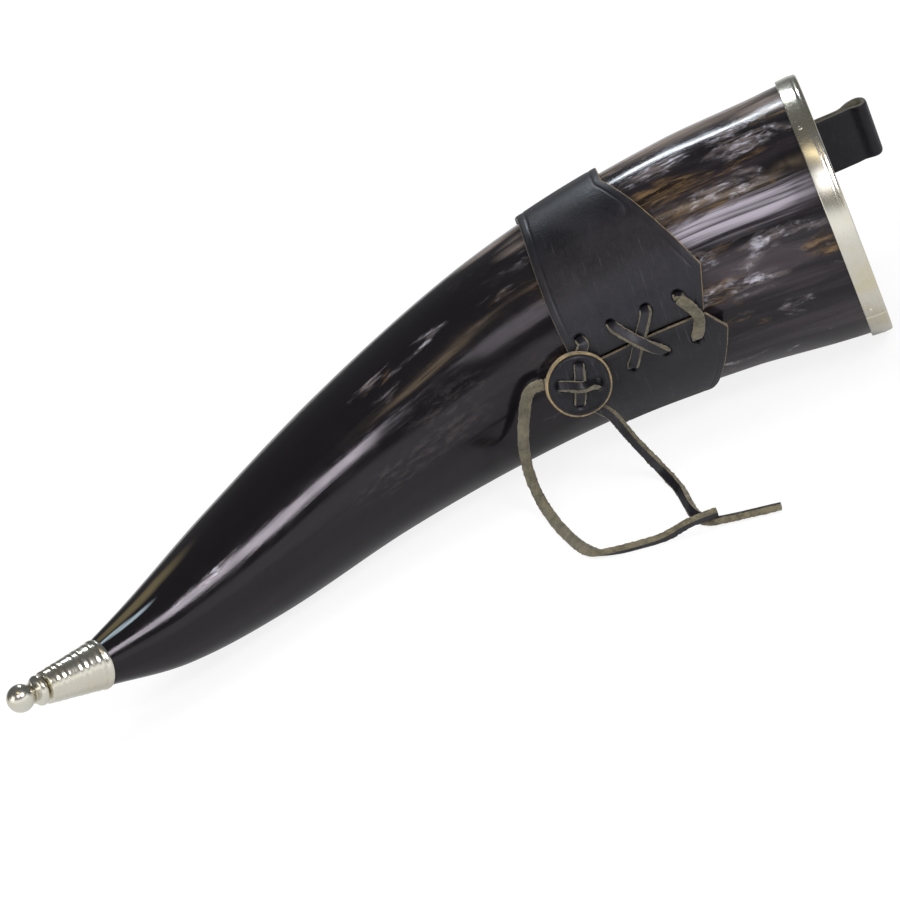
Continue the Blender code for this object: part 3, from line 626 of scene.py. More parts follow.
hornOutside = polishedHorn("polishedHornOutside")
hornInside = polishedHorn("smoothHornInside", inside=True)
nickel = polishedNickel("polishedNickel", 0.35)
nickelWarm = polishedNickel("polishedNickelWarm", 0.8)
leather = blackLeather("blackLeather")
strapLeather = blackLeather("strapLeather", 1.0, 0.32)
laceGrain = blackLeather("laceGrainSide", 1.1)
cutEdge = rawLeather("rawCutEdge", rawFinish["edge"])
fleshSide = rawLeather("fleshSide", rawFinish["flesh"])
laceEdge = rawLeather("laceRawEdge", rawFinish["laceEdge"])
strapEdge = rawLeather("strapRawEdge", rawFinish["strapEdge"])
# Painted light: a lighter copy of the raw cut edge for the button's rim
buttonEdgeWithPaintedLight = rawLeather("buttonRawEdgeWithPaintedLight", rawFinish["buttonEdgeWithPaintedLight"])
darkTipEdge = rawLeather("darkTipEdge", rawFinish["darkTipEdge"])
print("drinking horn: finishes made")


# Camera at the photograph's view

cameraSettings = {
    "place": (86.82, -828.23, 437.4),
    "aim": (-13.56, 24.85, 7.73),
    "roll": 20.79,
    "lens": 125.48, "sensor": 36,
}


def makeCamera():
    place = Vector(cameraSettings["place"]) * mm
    ahead = (Vector(cameraSettings["aim"]) * mm - place).normalized()
    right = ahead.cross(Vector((0, 0, 1))).normalized()
    level = right.cross(ahead)
    roll = radians(cameraSettings["roll"])
    up = level * cos(roll) + right * sin(roll)
    side = ahead.cross(up)
    camera = bpy.data.objects.new("camera", bpy.data.cameras.new("camera"))
    turn = Matrix((side, up, -ahead)).transposed().to_4x4()
    camera.matrix_world = Matrix.Translation(place) @ turn
    camera.data.lens = cameraSettings["lens"]
    camera.data.sensor_width = cameraSettings["sensor"]
    bpy.context.scene.collection.objects.link(camera)
    bpy.context.scene.camera = camera


makeCamera()


# Leather wrap: edges, room over the lace and rows of holes

wrap = {
    "leather": 1.8,
    "seamEnd": 51, "flapReach": 4.5, "backSet": 11,
    "tipEdge": 96, "tipSlant": 8, "tipSlantAngle": radians(105),
    "upperCorner": radians(19), "lowerCorner": radians(10), "backAngle": radians(82),
    "seamAngle": radians(11.5), "seamGap": 0.8,
    "laceRoom": 2.5, "laceRoomAngle": radians(50),
    "holeRows": {"bar": 56, "crossStart": 66.5, "crossEnd": 79.5, "button": 90.5},
    "holeOffset": 6.8, "holeRadius": 2.1,
    # Distance, width and rise: edge crease, worn edge, ring about each hole, flap corners, lower flap
    "crease": (2.4, 0.3, -0.16), "wornEdge": (0, 0.3, -0.22), "pucker": (2.5, 1.2, 0.14),
    "cornerLift": (0, 9, 0.6), "lowerFlapProud": (0, 7, 0.8),
    "funnel": 1.75, "funnelWall": (1.1, 2.0),               # how far each hole sinks in
    "wave": 0.12, "waveSize": 17, "waveRadius": 34,
    "fineStrip": 12, "fineStep": 0.4, "wideColumns": 190,   # grid beside the seam, and round the back
    "edgeRows": (0, 0.22), "closeRows": (0.5, 3.6, 0.3), "middleRows": 82, "middle": 75,
}


def wrapGap(fromSeam):
    share = np.clip(np.abs(fromSeam) / wrap["laceRoomAngle"], 0, 1)
    return fit + wrap["laceRoom"] * np.cos(pi / 2 * share) ** 2


def wrapMouthEdge(fromSeam):
    turnedBy = np.abs(fromSeam)
    corner = np.where(fromSeam > 0, wrap["upperCorner"], wrap["lowerCorner"])
    nearSeam = wrap["seamEnd"] - wrap["flapReach"] * turnedBy / corner
    share = np.clip((turnedBy - corner) / (wrap["backAngle"] - corner), 0, 1)
    cornerPlace = wrap["seamEnd"] - wrap["flapReach"]
    away = cornerPlace + (wrap["flapReach"] + wrap["backSet"]) * share
    return np.where(turnedBy < corner, nearSeam, away)


def wrapTipEdge(fromSeam):
    share = np.clip(np.abs(fromSeam) / wrap["tipSlantAngle"], 0, 1)
    return wrap["tipEdge"] - wrap["tipSlant"] * (1 - np.cos(pi * share)) / 2


def sideAngle(along, offset):
    return wrap["seamAngle"] + offset / (hornRadius(along)[0] + wrap["leather"])


def wrapOutside(along, offset):
    return float(wrapGap(sideAngle(along, offset) - wrap["seamAngle"])) + wrap["leather"]


def wrapColumns():
    # Angles from the seam: close together beside it, wider round the back
    radius = hornRadius(wrap["middle"])[0]
    wide = wrap["fineStrip"] / radius
    near = np.arange(wrap["seamGap"] / 2 / radius, wide, wrap["fineStep"] / radius)
    far = np.linspace(wide, 2 * pi - wide, wrap["wideColumns"])
    return np.concatenate([near, far, (2 * pi - near)[::-1]])


def wrapRows(first, last):
    # Rows close together along both edges, evenly spread between
    near = np.concatenate([wrap["edgeRows"], np.arange(*wrap["closeRows"])])
    edge = near[-1] + wrap["closeRows"][2]
    shares = np.linspace(0, 1, wrap["middleRows"] + 2)[1:-1]
    rows = [first + inset for inset in near]
    rows += [first + edge + (last - first - 2 * edge) * share for share in shares]
    return np.array(rows + [last - inset for inset in near[::-1]])


def makeWrap():
    columns = wrapColumns()
    fromSeam = np.where(columns <= pi, columns, columns - 2 * pi)
    first, last = wrapMouthEdge(fromSeam), wrapTipEdge(fromSeam)
    along = wrapRows(first, last)
    turnedBy = np.broadcast_to(fromSeam, along.shape)
    angle = wrap["seamAngle"] + turnedBy
    radius = hornRadius(along).reshape(along.shape)
    offset = turnedBy * (radius + wrap["leather"])
    slope = np.gradient(first, columns) / radius.mean()
    fromMouthEdge = (along - first) / np.sqrt(1 + slope**2)
    fromTipEdge = last - along
    gap = wrapGap(turnedBy)
    # Flap corners lift off the horn, and the lower flap stands a little proud at the seam
    corner = wrap["seamEnd"] - wrap["flapReach"]
    for cornerAngle in (wrap["upperCorner"], -wrap["lowerCorner"]):
        reach = np.hypot(along - corner, offset - cornerAngle * radius)
        gap += swell(reach, *wrap["cornerLift"])
    gap += np.where(offset < 0, swell(offset, *wrap["lowerFlapProud"]), 0)
    waves = wobble(onTube(along, angle, wrap["waveRadius"]), wrap["waveSize"], 4)
    gap += wrap["wave"] * (1 + waves)
    upper = gap + wrap["leather"]
    for fromEdge in (fromMouthEdge, fromTipEdge):
        upper += swell(fromEdge, *wrap["crease"]) + swell(fromEdge, *wrap["wornEdge"])
    upper += swell(np.abs(offset) - wrap["seamGap"] / 2, *wrap["wornEdge"])
    for place in wrap["holeRows"].values():
        for side in (1, -1):
            reach = np.hypot(along - place, offset - side * wrap["holeOffset"])
            upper += swell(reach, *wrap["pucker"]) - wrap["funnel"] * (1 - ease(reach, *wrap["funnelWall"]))
    top, under = onHorn(along, angle, upper), onHorn(along, angle, gap)
    # One closed shell: over the top, round the tip edge, back under, round the mouth edge
    ring = np.concatenate([top, under[::-1], top[:1]])
    rowCount = len(along)
    finishOf = np.zeros((len(ring) - 1, len(columns) - 1), int)
    finishes = [leather, cutEdge, fleshSide, darkTipEdge]
    finishOf[[0, -1]] = 1
    finishOf[rowCount:-1] = 2
    finishOf[rowCount - 2:rowCount] = 3
    piece = gridMesh("holderWrap", toWorld(ring), finishes, finishOf=finishOf, crease=46)
    closeEnds(piece, 1, 46)
    dress(piece, "holder", "black_leather", "holder_wrap")


makeWrap()
print("drinking horn: wrap laid")


# Horn body: outside, lip and bore in one skin

horn = {
    "sides": 160, "ringStep": 1.5, "boreRings": 60, "boreEndRings": 16, "lip": 0.5,
    "unevenness": 0.22, "evenMouth": (6, 30), "evenTip": (5, 90),
    "swells": ((1, (0.35, 1, 1), 24, 1), (0.4, (0.3, 1, 1), 9, 2)),   # share, stretch, size, seed
}


def makeHorn():
    outside = np.linspace(0, hornLength, round(hornLength / horn["ringStep"]))
    flat = hornLine["boreDepth"] - hornLine["boreRounding"]
    rows = []
    # Bore, from its deepest point out to the mouth
    for turn in np.linspace(pi / 2, 0, horn["boreEndRings"]):
        along = flat + hornLine["boreRounding"] * sin(turn)
        rows.append((along, (hornRadius(along)[0] - hornLine["wall"]) * sqrt(max(cos(turn), 0))))
    for along in np.linspace(flat, horn["lip"], horn["boreRings"])[1:]:
        rows.append((along, hornRadius(along)[0] - hornLine["wall"]))
    boreRows = len(rows)
    mouth = hornRadius(0)[0]
    rows += [(0, mouth - hornLine["wall"] + horn["lip"]), (0, mouth - horn["lip"])]
    rows += [(along, hornRadius(along)[0]) for along in outside[1:]]
    rows.append((hornLength, 0))
    along, radius, around = np.broadcast_arrays(*np.array(rows).T[:, :, None], roundAngles(horn["sides"]))
    lay = onTube(along, around, layRadius)
    uneven = sum(share * wobble(lay * stretch, size, seed) for share, stretch, size, seed in horn["swells"])
    fade = ease(along, *horn["evenMouth"]) * ease(hornLength - along, *horn["evenTip"])
    lift = radius - hornRadius(along).reshape(along.shape)
    points = onHorn(along, around, lift + horn["unevenness"] * uneven * fade)
    finishOf = np.zeros((len(rows) - 1, horn["sides"]), int)
    finishOf[:boreRows] = 1
    finishes = [hornOutside, hornInside]
    piece = gridMesh("hornBody", toWorld(points), finishes, wrapAround=True, finishOf=finishOf, lay=lay)
    dress(piece, "horn", "polished_horn", "horn_body")


makeHorn()
print("drinking horn: horn turned")


# Rim band folded over the lip, its butt seam and its nails

rim = {
    "sheet": 0.8, "depth": 5.5, "turnIn": 3, "sides": 240, "cornerRound": 0.35,
    "dip": ((-1.1, 0.05), (-0.5, 0.22), (-0.1, 0.1)),   # along, and depth of the dip under the rolled edge
    "roll": ((-0.3, 0.3), (0, 0.8)),                    # along and inwards from the edge's top corner
    "innerRound": 0.5, "innerEdge": 0.2,
    "ripple": 0.06, "rippleStart": 0.8,                 # three soft waves round the band
    "seamAngle": radians(-24.5), "seam": (0, 0.35, -0.3), "seamSpan": 0.012,   # distance, width, rise
    "pins": 4, "pinAngle": radians(-20), "pinSetBack": 3.4,
    "pinRadius": 0.75, "pinRise": 0.12, "pinProud": 0.1,
    "pinShank": ((-0.3, 0.9), (-0.9, 0.55), (-2.6, 0.4), (-2.9, 0)),   # along, share of the head's radius
}


def makeRimBand():
    sheet, depth, into = rim["sheet"], rim["depth"], rim["turnIn"]
    outer = hornRadius(0)[0] + fit
    inner = hornRadius(0)[0] - hornLine["wall"] - fit
    back = hornRadius(depth)[0] + fit
    turnIn = hornRadius(into)[0] - hornLine["wall"] - fit
    top = fit + sheet
    profile = [(-depth, back), (-depth, back + sheet)]
    profile += [(along, outer + sheet - drop) for along, drop in rim["dip"]]
    profile += [(top + along, outer + sheet - drop) for along, drop in rim["roll"]]
    profile += [
        (top, inner - sheet + rim["innerRound"]), (rim["innerEdge"], inner - sheet), (-into, turnIn - sheet),
        (-into, turnIn), (fit, inner), (fit, outer), (-depth, back),
    ]
    profile = softened(profile, rim["cornerRound"])
    seam = rim["seamAngle"] % (2 * pi)
    nearSeam = seam + np.linspace(-1, 1, 9) * rim["seamSpan"]
    angles = np.sort(np.concatenate([roundAngles(rim["sides"]), nearSeam]))
    along, radius = np.array(profile).T[:, :, None]
    groove = swell((angles - seam) * outer, *rim["seam"]) * (radius > outer)
    ripple = rim["ripple"] * np.sin(3 * angles + rim["rippleStart"]) * (radius > outer - 0.2)
    out = (radius + groove + ripple)[..., None] * spokes(angles, (0, -1, 0), (0, 0, 1))
    points = out + along[..., None] * (1, 0, 0)
    piece = gridMesh("rimBand", toWorld(points), [nickelWarm], wrapAround=True, crease=50)
    dress(piece, "horn", "nickel", "rim_band")


def makeRimPins():
    rise, wide = rim["pinRise"], rim["pinRadius"]
    dome = [(rise * sin(t), wide * cos(t)) for t in np.linspace(pi / 2, 0, 9)]
    profile = dome + [(along, wide * share) for along, share in rim["pinShank"]]
    seat = hornRadius(rim["pinSetBack"])[0] + fit + rim["sheet"] + rim["pinProud"]
    for i in range(rim["pins"]):
        angle = rim["pinAngle"] + 2 * pi * i / rim["pins"]
        direction = np.array((0, -cos(angle), sin(angle)))
        start = np.array((-rim["pinSetBack"], 0, 0)) + direction * seat
        piece = turned(f"rimPin{i + 1}", profile, start, direction, nickel, 24)
        dress(piece, "horn", "nickel", f"rim_pin_{i + 1}")


makeRimBand()
makeRimPins()


# Turned ferrule and knob on the tip

tip = {
    "length": 18.3, "baseRadius": 7.2, "endRadius": 4.7, "setOff": 0.9,
    "wall": 0.8, "socket": 1.5, "lip": 0.75, "endEdge": (0.25, 0.35), "pegHole": 1.4,
    # Distance, width and rise: roll and groove at the base, each ridge, the hollows beside it
    "baseRoll": (0, 0.8, 0.18), "baseGroove": (1.2, 0.35, -0.12),
    "ridge": (0, 0.42, 0.065), "ridgeFoot": (0.95, 0.3, -0.03),
    "ridges": (2.4, 6.2, 8.2, 13.4, 15.4),
    "peg": ((-2.5, 0), (-2.5, 1.3), (0, 1.5)),
    "beadRadius": 4.4, "beadLength": 3.7, "beadFullness": 0.8, "beadArc": (0.12 * pi, 0.86 * pi),
    "neckRadius": 2.3, "neckLength": 1, "waist": 3, "waistTurn": 0.5,   # the ball starts no slimmer than this
    "ballRadius": 4, "ballArc": (0.1 * pi, pi),
}


def tipAxis():
    toTip = hornAt(hornLength - 1)[1][0] + (0, 0, hornLine["tipLean"])
    return hornCentre(np.array([hornLength]))[0], unit(toTip)


def makeFerrule():
    start, axis = tipAxis()
    places = np.linspace(0, tip["length"], 170)
    radii = tip["baseRadius"] + (tip["endRadius"] - tip["baseRadius"]) * places / tip["length"]
    radii += swell(places, *tip["baseRoll"]) + swell(places, *tip["baseGroove"])
    for ridge in tip["ridges"]:
        away = np.abs(places - ridge)
        radii += swell(away, *tip["ridge"]) + swell(away, *tip["ridgeFoot"])
    inner, lip = tip["baseRadius"] - tip["wall"], tip["lip"]
    profile = [(tip["socket"], inner - 0.2), (-0.8 * lip, inner), (-lip, inner + 0.4)]
    profile += [(-0.8 * lip, radii[0] - 0.12), *zip(places, radii)]
    past, inset = tip["endEdge"]
    profile += [(tip["length"] + past, tip["endRadius"] - inset), (tip["length"] + past, tip["pegHole"])]
    piece = turned("tipFerrule", profile, start + axis * tip["setOff"], axis, nickel, 144, crease=60)
    dress(piece, "horn", "nickel", "tip_ferrule")


def makeKnob():
    start, axis = tipAxis()
    start = start + axis * (tip["setOff"] + tip["length"] + fit)
    bead, neck, ball = tip["beadRadius"], tip["neckRadius"], tip["ballRadius"]
    ballCentre = tip["beadLength"] + tip["neckLength"] + sqrt(ball**2 - neck**2)
    profile = list(tip["peg"])
    for t in np.linspace(*tip["beadArc"], 30):
        profile.append((tip["beadLength"] * (1 - cos(t)) / 2, bead * sin(t) ** tip["beadFullness"]))
    for t in np.linspace(*tip["ballArc"], 44):
        least = tip["waist"] if t < tip["waistTurn"] else 0
        profile.append((ballCentre - ball * cos(t), max(ball * sin(t), least)))
    profile[-1] = (ballCentre + ball, 0)
    piece = turned("finialKnob", profile, start, axis, nickel, 96, crease=60)
    dress(piece, "horn", "nickel", "finial_knob")


makeFerrule()
makeKnob()
print("drinking horn: metal turned")


# Leather button on the lace

button = {
    "along": 98.4, "offset": -2, "radius": 9.75, "thick": 2.4, "standoff": 3.4,
    "tilt": radians(10), "turn": radians(28), "holeOffset": 5.6,
    "crown": 0.25,
    # Distance, width and rise: ring near the edge, each hole's dip and its rim
    "groove": (8.6, 0.4, -0.22), "holeDip": (0, 1.35, -1.1), "holeRim": (2.4, 0.8, 0.2),
    "sides": 120, "innerRings": (0.02, 8, 34), "outerRings": (8.15, 9.3, 9),
    "uneven": ((2, 0.008, 0.6), (5, 0.006, 0)),   # waves round the edge, share, start
}


def buttonFrame():
    angle = sideAngle(button["along"], button["offset"])
    lift = wrapOutside(button["along"], button["offset"]) + button["standoff"] + button["thick"] / 2
    centre = onHorn(button["along"], angle, lift)
    toTip = hornAt(button["along"])[1][0]
    normal = outward(button["along"], angle + button["tilt"])
    return centre, toTip, np.cross(normal, toTip), normal


def buttonSpoke(angle):
    _, toTip, across, _ = buttonFrame()
    return toTip * cos(angle) - across * sin(angle)


def onButton(angle, radius, height):
    centre, _, _, normal = buttonFrame()
    return centre + buttonSpoke(angle) * radius + normal * height


def makeButton():
    centre, toTip, across, normal = buttonFrame()
    half, wide = button["thick"] / 2, button["radius"]
    radii = np.concatenate([np.linspace(*button["innerRings"]), np.linspace(*button["outerRings"])])
    angles = roundAngles(button["sides"])
    r, a = np.meshgrid(radii, angles, indexing="ij")
    face = half + button["crown"] * (1 - (r / wide) ** 2) + swell(r, *button["groove"])
    for turn in button["turn"] + np.arange(4) * pi / 2:
        x, y = button["holeOffset"] * cos(turn), button["holeOffset"] * sin(turn)
        reach = np.hypot(r * np.cos(a) - x, r * np.sin(a) - y)
        face += swell(reach, *button["holeDip"]) + swell(reach, *button["holeRim"])
    edge = [(wide - 0.1, half - 0.25), (wide, half - 0.6), (wide, -half + 0.5), (wide - 0.3, -half)]
    edgeRadii, edgeHeights = np.array(edge + [(radius, -half) for radius in radii[::-6]]).T
    uneven = 1 + sum(share * np.sin(waves * angles + start) for waves, share, start in button["uneven"])
    spread = np.concatenate([radii, edgeRadii])[:, None] * uneven
    height = np.concatenate([face, edgeHeights[:, None] + 0 * angles])
    points = centre + spokes(angles, toTip, -across) * spread[..., None] + normal * height[..., None]
    finishOf = np.zeros((len(spread) - 1, len(angles)), int)
    finishOf[len(radii) - 2:] = 1
    finishOf[len(radii) + 3:] = 2
    finishes = [strapLeather, buttonEdgeWithPaintedLight, fleshSide]
    piece = gridMesh("holderButton", toWorld(points), finishes, wrapAround=True, finishOf=finishOf)
    closeEnds(piece, 0, 50)
    dress(piece, "holder", "black_leather", "holder_button")


makeButton()


# The lace's held length: bar, cross and button, in one ribbon

lace = {
    "width": 3.3, "thick": 1.9, "tube": 1.8, "step": 0.4,
    "bevel": 0.22, "endShare": 0.93,   # shares of the thickness, and of the width at the cut ends
    "waveSize": 4.0, "fuzzSize": 0.7, "fuzz": (0.03, 0.13),   # on the grain, and on flesh and edges
    "barBulge": 3, "clear": 0.15, "overEdge": 2.2,
    "tailStep": 4, "easePasses": 120,
    "easedTo": (0.12, 0.28), "liftedFrom": (0.82, 0.95),      # shares of a free end's length
}


def laceMesh(name, route, grainSides, rough, seed):
    # A flat strip along a route in world mm: grain (0) on the given side, flesh (1) behind, raw edges (2)
    along = unit(np.gradient(route, axis=0))
    across = unit(np.cross(along, grainSides))
    normals = np.cross(across, along)
    w, t, c = lace["width"] / 2, lace["thick"] / 2, lace["thick"] * lace["bevel"]
    section = np.array([
        (-w, -t + c), (-w, t - c), (-w + c, t), (-w / 2, t), (0, t), (w / 2, t), (w - c, t),
        (w, t - c), (w, -t + c), (w - c, -t), (w / 2, -t), (0, -t), (-w / 2, -t), (-w + c, -t),
    ])
    kinds = np.array([2, 2, 0, 0, 0, 0, 2, 2, 2, 1, 1, 1, 1, 2])
    places = runLengths(route)
    size = 1 + rough * wobble(np.stack([places, 0 * places, 0 * places], 1), lace["waveSize"], seed)
    size[0] = size[-1] = size[-1] * lace["endShare"]
    middle = route[:, None, :]
    points = middle + across[:, None, :] * (size[:, None] * section[:, 0])[..., None]
    points = points + normals[:, None, :] * section[:, 1:]
    smoothSide, roughSide = lace["fuzz"]
    fuzz = wobble(points, lace["fuzzSize"], seed + 3) * np.where(kinds > 0, roughSide, smoothSide)
    points = points + fuzz[..., None] * (points - middle)
    points[..., 2] = np.maximum(points[..., 2], ground)
    # Each cut end closes on the route's own end
    points = np.concatenate([0 * points[:1] + route[0], points, 0 * points[:1] + route[-1]])
    runs = np.concatenate([places[:1], places, places[-1:]])[:, None]
    lay = np.stack(np.broadcast_arrays(runs, section[:, 0], section[:, 1]), -1)
    finishOf = np.tile(kinds, (len(route) + 1, 1))
    finishOf[[0, -1]] = 2
    finishes = [laceGrain, fleshSide, laceEdge]
    return gridMesh(name, points * mm, finishes, wrapAround=True, finishOf=finishOf, lay=lay, crease=50)


def besideSeam(along, offset, lift):
    return onHorn(along, sideAngle(along, offset), lift)


def laceHalf(side, rise):
    half = lace["tube"] / 2
    edge = wrap["holeOffset"]
    near = edge - wrap["holeRadius"] * 0.6
    rows = wrap["holeRows"]
    step = wrap["holeRadius"]
    route = []

    def outside(along, offset, extra=0.0, tilt=0.0, facing=1):
        point = besideSeam(along, offset, wrapOutside(along, offset) + half + lace["clear"] + extra)
        out = outward(along, sideAngle(along, offset))
        route.append((point, facing * out + tilt * away(along, offset)))

    def away(along, offset):
        # Direction round the horn, upwards
        return outward(along, sideAngle(along, offset) + pi / 2)

    def inHole(along, offset):
        point = besideSeam(along, offset, wrapOutside(along, offset) - wrap["leather"] / 2)
        route.append((point, np.sign(offset) * away(along, offset)))

    def inside(along, offset):
        point = besideSeam(along, offset, fit + half)
        route.append((point, outward(along, sideAngle(along, offset))))

    middle = (rows["crossStart"] + rows["crossEnd"]) / 2
    # Hints turn the strip about its own run, so that its raw side shows as well as its grain
    outside(rows["bar"] - lace["barBulge"] * 0.6, side * near * 0.6, half * 0.5, 0.5, -1)
    outside(rows["bar"] - half * 0.4, side * near, 0, 0.4, -1)
    inHole(rows["bar"], side * edge)
    inside(rows["bar"] + step, side * edge)
    inside(rows["crossStart"] - step, side * edge)
    inHole(rows["crossStart"], side * edge)
    outside(rows["crossStart"] + half, side * near, 0, side * 0.7)
    outside(middle, 0, rise, 0.9)
    outside(rows["crossEnd"] - half, -side * near, 0, 0.8)
    inHole(rows["crossEnd"], -side * edge)
    inside(rows["crossEnd"] + step, -side * edge)
    inside(rows["button"] - step, -side * edge)
    inHole(rows["button"], -side * edge)
    outside(rows["button"], -side * near)
    return route


def overButton(start, end, rise):
    face = button["thick"] / 2 + fit + lace["tube"] / 2
    overEdge = button["holeOffset"] - lace["overEdge"]
    normal = buttonFrame()[3]
    tilt = outward(button["along"], pi / 2 + button["tilt"])
    return [
        (onButton(start, button["holeOffset"], -face), buttonSpoke(start)),
        (onButton(start, button["holeOffset"], button["thick"] / 4), buttonSpoke(start)),
        (onButton(start, overEdge, face - 0.1), normal + tilt * 1.3),
        (onButton(start, 0, face + rise), normal + tilt * 0.8),
        (onButton(end, overEdge, face - 0.1), normal + tilt * 0.4),
        (onButton(end, button["holeOffset"], button["thick"] / 4), buttonSpoke(end)),
        (onButton(end, button["holeOffset"], -face), buttonSpoke(end)),
    ]


tails = {
    "tail1": {
        "hole": button["turn"], "angle": radians(28),
        "route": (
            (14.6, -12.6, 29.5), (11.6, -12.4, 20.5), (10.5, -14.5, 11.5), (11.5, -19, 4.5),
            (14.5, -29.5, 1.5), (19.5, -44.5, 1.2), (24, -52, 1.2), (30, -54.5, 1.2), (38, -55.5, 1.2),
            (45, -56, 1.5), (51, -56.5, 2.7), (56.5, -57, 3.4), (60.5, -56.5, 3.4),
        ),
        "endLift": 1.1,   # lies over the other end
        # Grain side at the start, on the way down and where it lies: mostly turned away
        "grain": ((0.3, 0.9, -0.2), (0.5, 0.8, -0.2), (0.5, 0.4, -0.8), (0, -0.9, -0.6), (0, -0.9, -0.5)),
    },
    "tail2": {
        "hole": button["turn"] + 1.5 * pi, "angle": radians(262),
        "route": (
            (40, -14.5, 20), (42.5, -15.5, 13.5), (45.5, -17, 7), (48.5, -21, 2.3), (51.5, -31.5, 1.2),
            (53, -42, 1.2), (54.5, -49.5, 1.2), (58, -54.5, 1.2), (63.5, -56.2, 1.2), (70, -57.3, 1.2),
            (78, -58.5, 1.2),
        ),
        "endLift": 0,
        "grain": (
            (-0.3, -0.8, 0.3), (-0.5, -0.6, 0.4), (-0.6, -0.3, 0.8), (-0.7, -0.2, 0.6), (0, 0.3, 0.95),
            (0, 0.3, 0.95),
        ),
    },
}


def underButton(angle, radius):
    return onButton(angle, radius, -button["thick"] / 2 - fit - lace["tube"] / 2)


def tailExit(angle):
    return underButton(angle, button["radius"])


def makeLace():
    rise = lace["thick"] + fit
    rows = wrap["holeRows"]
    lift = wrapOutside(rows["bar"], 0) + fit + lace["tube"] / 2 * 1.6
    barPlace = rows["bar"] - lace["barBulge"]
    bar = [(besideSeam(barPlace, 0, lift), -outward(barPlace, wrap["seamAngle"]))]
    top, right = button["turn"] + pi / 2, button["turn"] + pi
    normal = buttonFrame()[3]
    toTail1 = laceHalf(1, 0) + overButton(right, button["turn"], rise)
    toTail1 += [(tailExit(tails["tail1"]["angle"]), -normal)]
    toTail2 = laceHalf(-1, rise) + overButton(top, top + pi, 0)
    toTail2 += [(tailExit(tails["tail2"]["angle"]), normal)]
    knots = toTail1[::-1] + bar + toTail2
    route, hints = smoothRoute([k[0] for k in knots], lace["step"], [k[1] for k in knots])
    piece = laceMesh("holderLace", toWorld(route) / mm, turnToWorld(hints), rough=0.08, seed=5)
    dress(piece, "holder", "lace_leather", "holder_lace")


def makeTail(name, node, settings):
    # A free end, from under the button's edge down to the ground
    leave = tailExit(settings["angle"])
    leaving = unit(leave - underButton(settings["hole"], button["holeOffset"]))
    start = leave + leaving * fit
    points = [*toWorld([start, start + leaving * lace["tailStep"]]) / mm, *settings["route"]]
    route = smoothRoute(points, lace["step"])
    shares = np.linspace(0, 1, len(route))
    easing = 1 - ease(shares, *lace["easedTo"])[1:-1, None]
    for _ in range(lace["easePasses"]):
        route[1:-1] += 0.5 * easing * ((route[:-2] + route[2:]) / 2 - route[1:-1])
    route[:, 2] += settings["endLift"] * ease(shares, *lace["liftedFrom"])
    sides = np.array(settings["grain"], float)
    places = np.linspace(0, 1, len(sides))
    hints = np.stack([np.interp(shares, places, values) for values in sides.T], 1)
    piece = laceMesh(name, route, hints, rough=0.07, seed=9)
    dress(piece, "holder", "lace_leather", node)


makeLace()
makeTail("laceTail1", "lace_tail_1", tails["tail1"])
makeTail("laceTail2", "lace_tail_2", tails["tail2"])


# Strap: the tab's two layers and the belt loop in one folded strip

strap = {
    "angle": radians(189), "width": 18, "leather": 1.6, "pastRim": 19, "rimGap": 1.2,
    "beltGap": 8, "tab": 24, "foldRadius": 2.3, "step": 0.9,
    "edgeColumns": (0.95, 0.985, 1), "wornEdge": (0, 0.35, -0.25),   # distance, width, rise
    "roundPlace": 70, "roundLift": 3, "roundFade": (-8, 4),          # the tab bends to the horn's roundness
    "hingeReach": 3,
    "rivetHead": 3.5, "rivetThick": 0.8, "rivetRadius": 1.3, "rivetSpacing": 11,
}
backEdge = wrap["seamEnd"] + wrap["backSet"]


def tabLift(layer):
    return fit + wrap["leather"] + (fit + strap["leather"]) * layer + fit + strap["leather"] / 2


def strapFrame():
    start = onHorn(backEdge - fit, strap["angle"], tabLift(1) + strap["leather"] / 2)
    rimRadius = hornRadius(0)[0] + fit + rim["sheet"]
    under = tabLift(1) - tabLift(0) + strap["leather"]
    normal = outward(0, strap["angle"])
    run = normal * (rimRadius + strap["rimGap"] + under) - start
    across = unit(np.cross(normal, run))
    return start, unit(run), across, unit(np.cross(run, across)), np.linalg.norm(run)


def strapLine():
    # Middle of the strip from the tab's inner end, out round the fold and back to its outer end
    start, run, _, normal, toRim = strapFrame()
    half, fold = strap["leather"] / 2, strap["foldRadius"]
    inner = tabLift(0) - tabLift(1) - half
    pinched = inner + strap["leather"] + 2 * fit
    spread = inner + strap["leather"] + strap["beltGap"]
    foldAt = toRim + strap["pastRim"] - fold - half
    side = [(toRim * share, inner) for share in (0.06, 0.25, 0.5, 0.75, 1)]
    # The fold is rolled: it bulges to both sides past a crease
    side += [(foldAt - 6, inner), (foldAt - 3.2, inner + 0.25)]
    for turn in np.linspace(0.06 * pi, 0.95 * pi, 10):
        side.append((foldAt - 0.2 + (fold + 0.2) * sin(turn), inner - 0.9 + fold * 1.35 * (1 - cos(turn))))
    side += [
        (foldAt - 2.6, inner + 1.95 * fold), (foldAt - 6, pinched), (toRim + fold, pinched),
        (toRim * 0.9, pinched), (toRim * 0.66, spread), (toRim * 0.3, spread), (toRim * 0.06, -half + 0.6),
    ]
    loop = [start + run * along + normal * height for along, height in side]
    tabAlong = np.linspace(strap["tab"], 1.5, 9) + backEdge
    tabIn = [onHorn(along, strap["angle"], tabLift(0)) for along in tabAlong]
    tabOut = [onHorn(along, strap["angle"], tabLift(1)) for along in tabAlong[::-1]]
    return smoothRoute(tabIn + loop + tabOut, strap["step"])


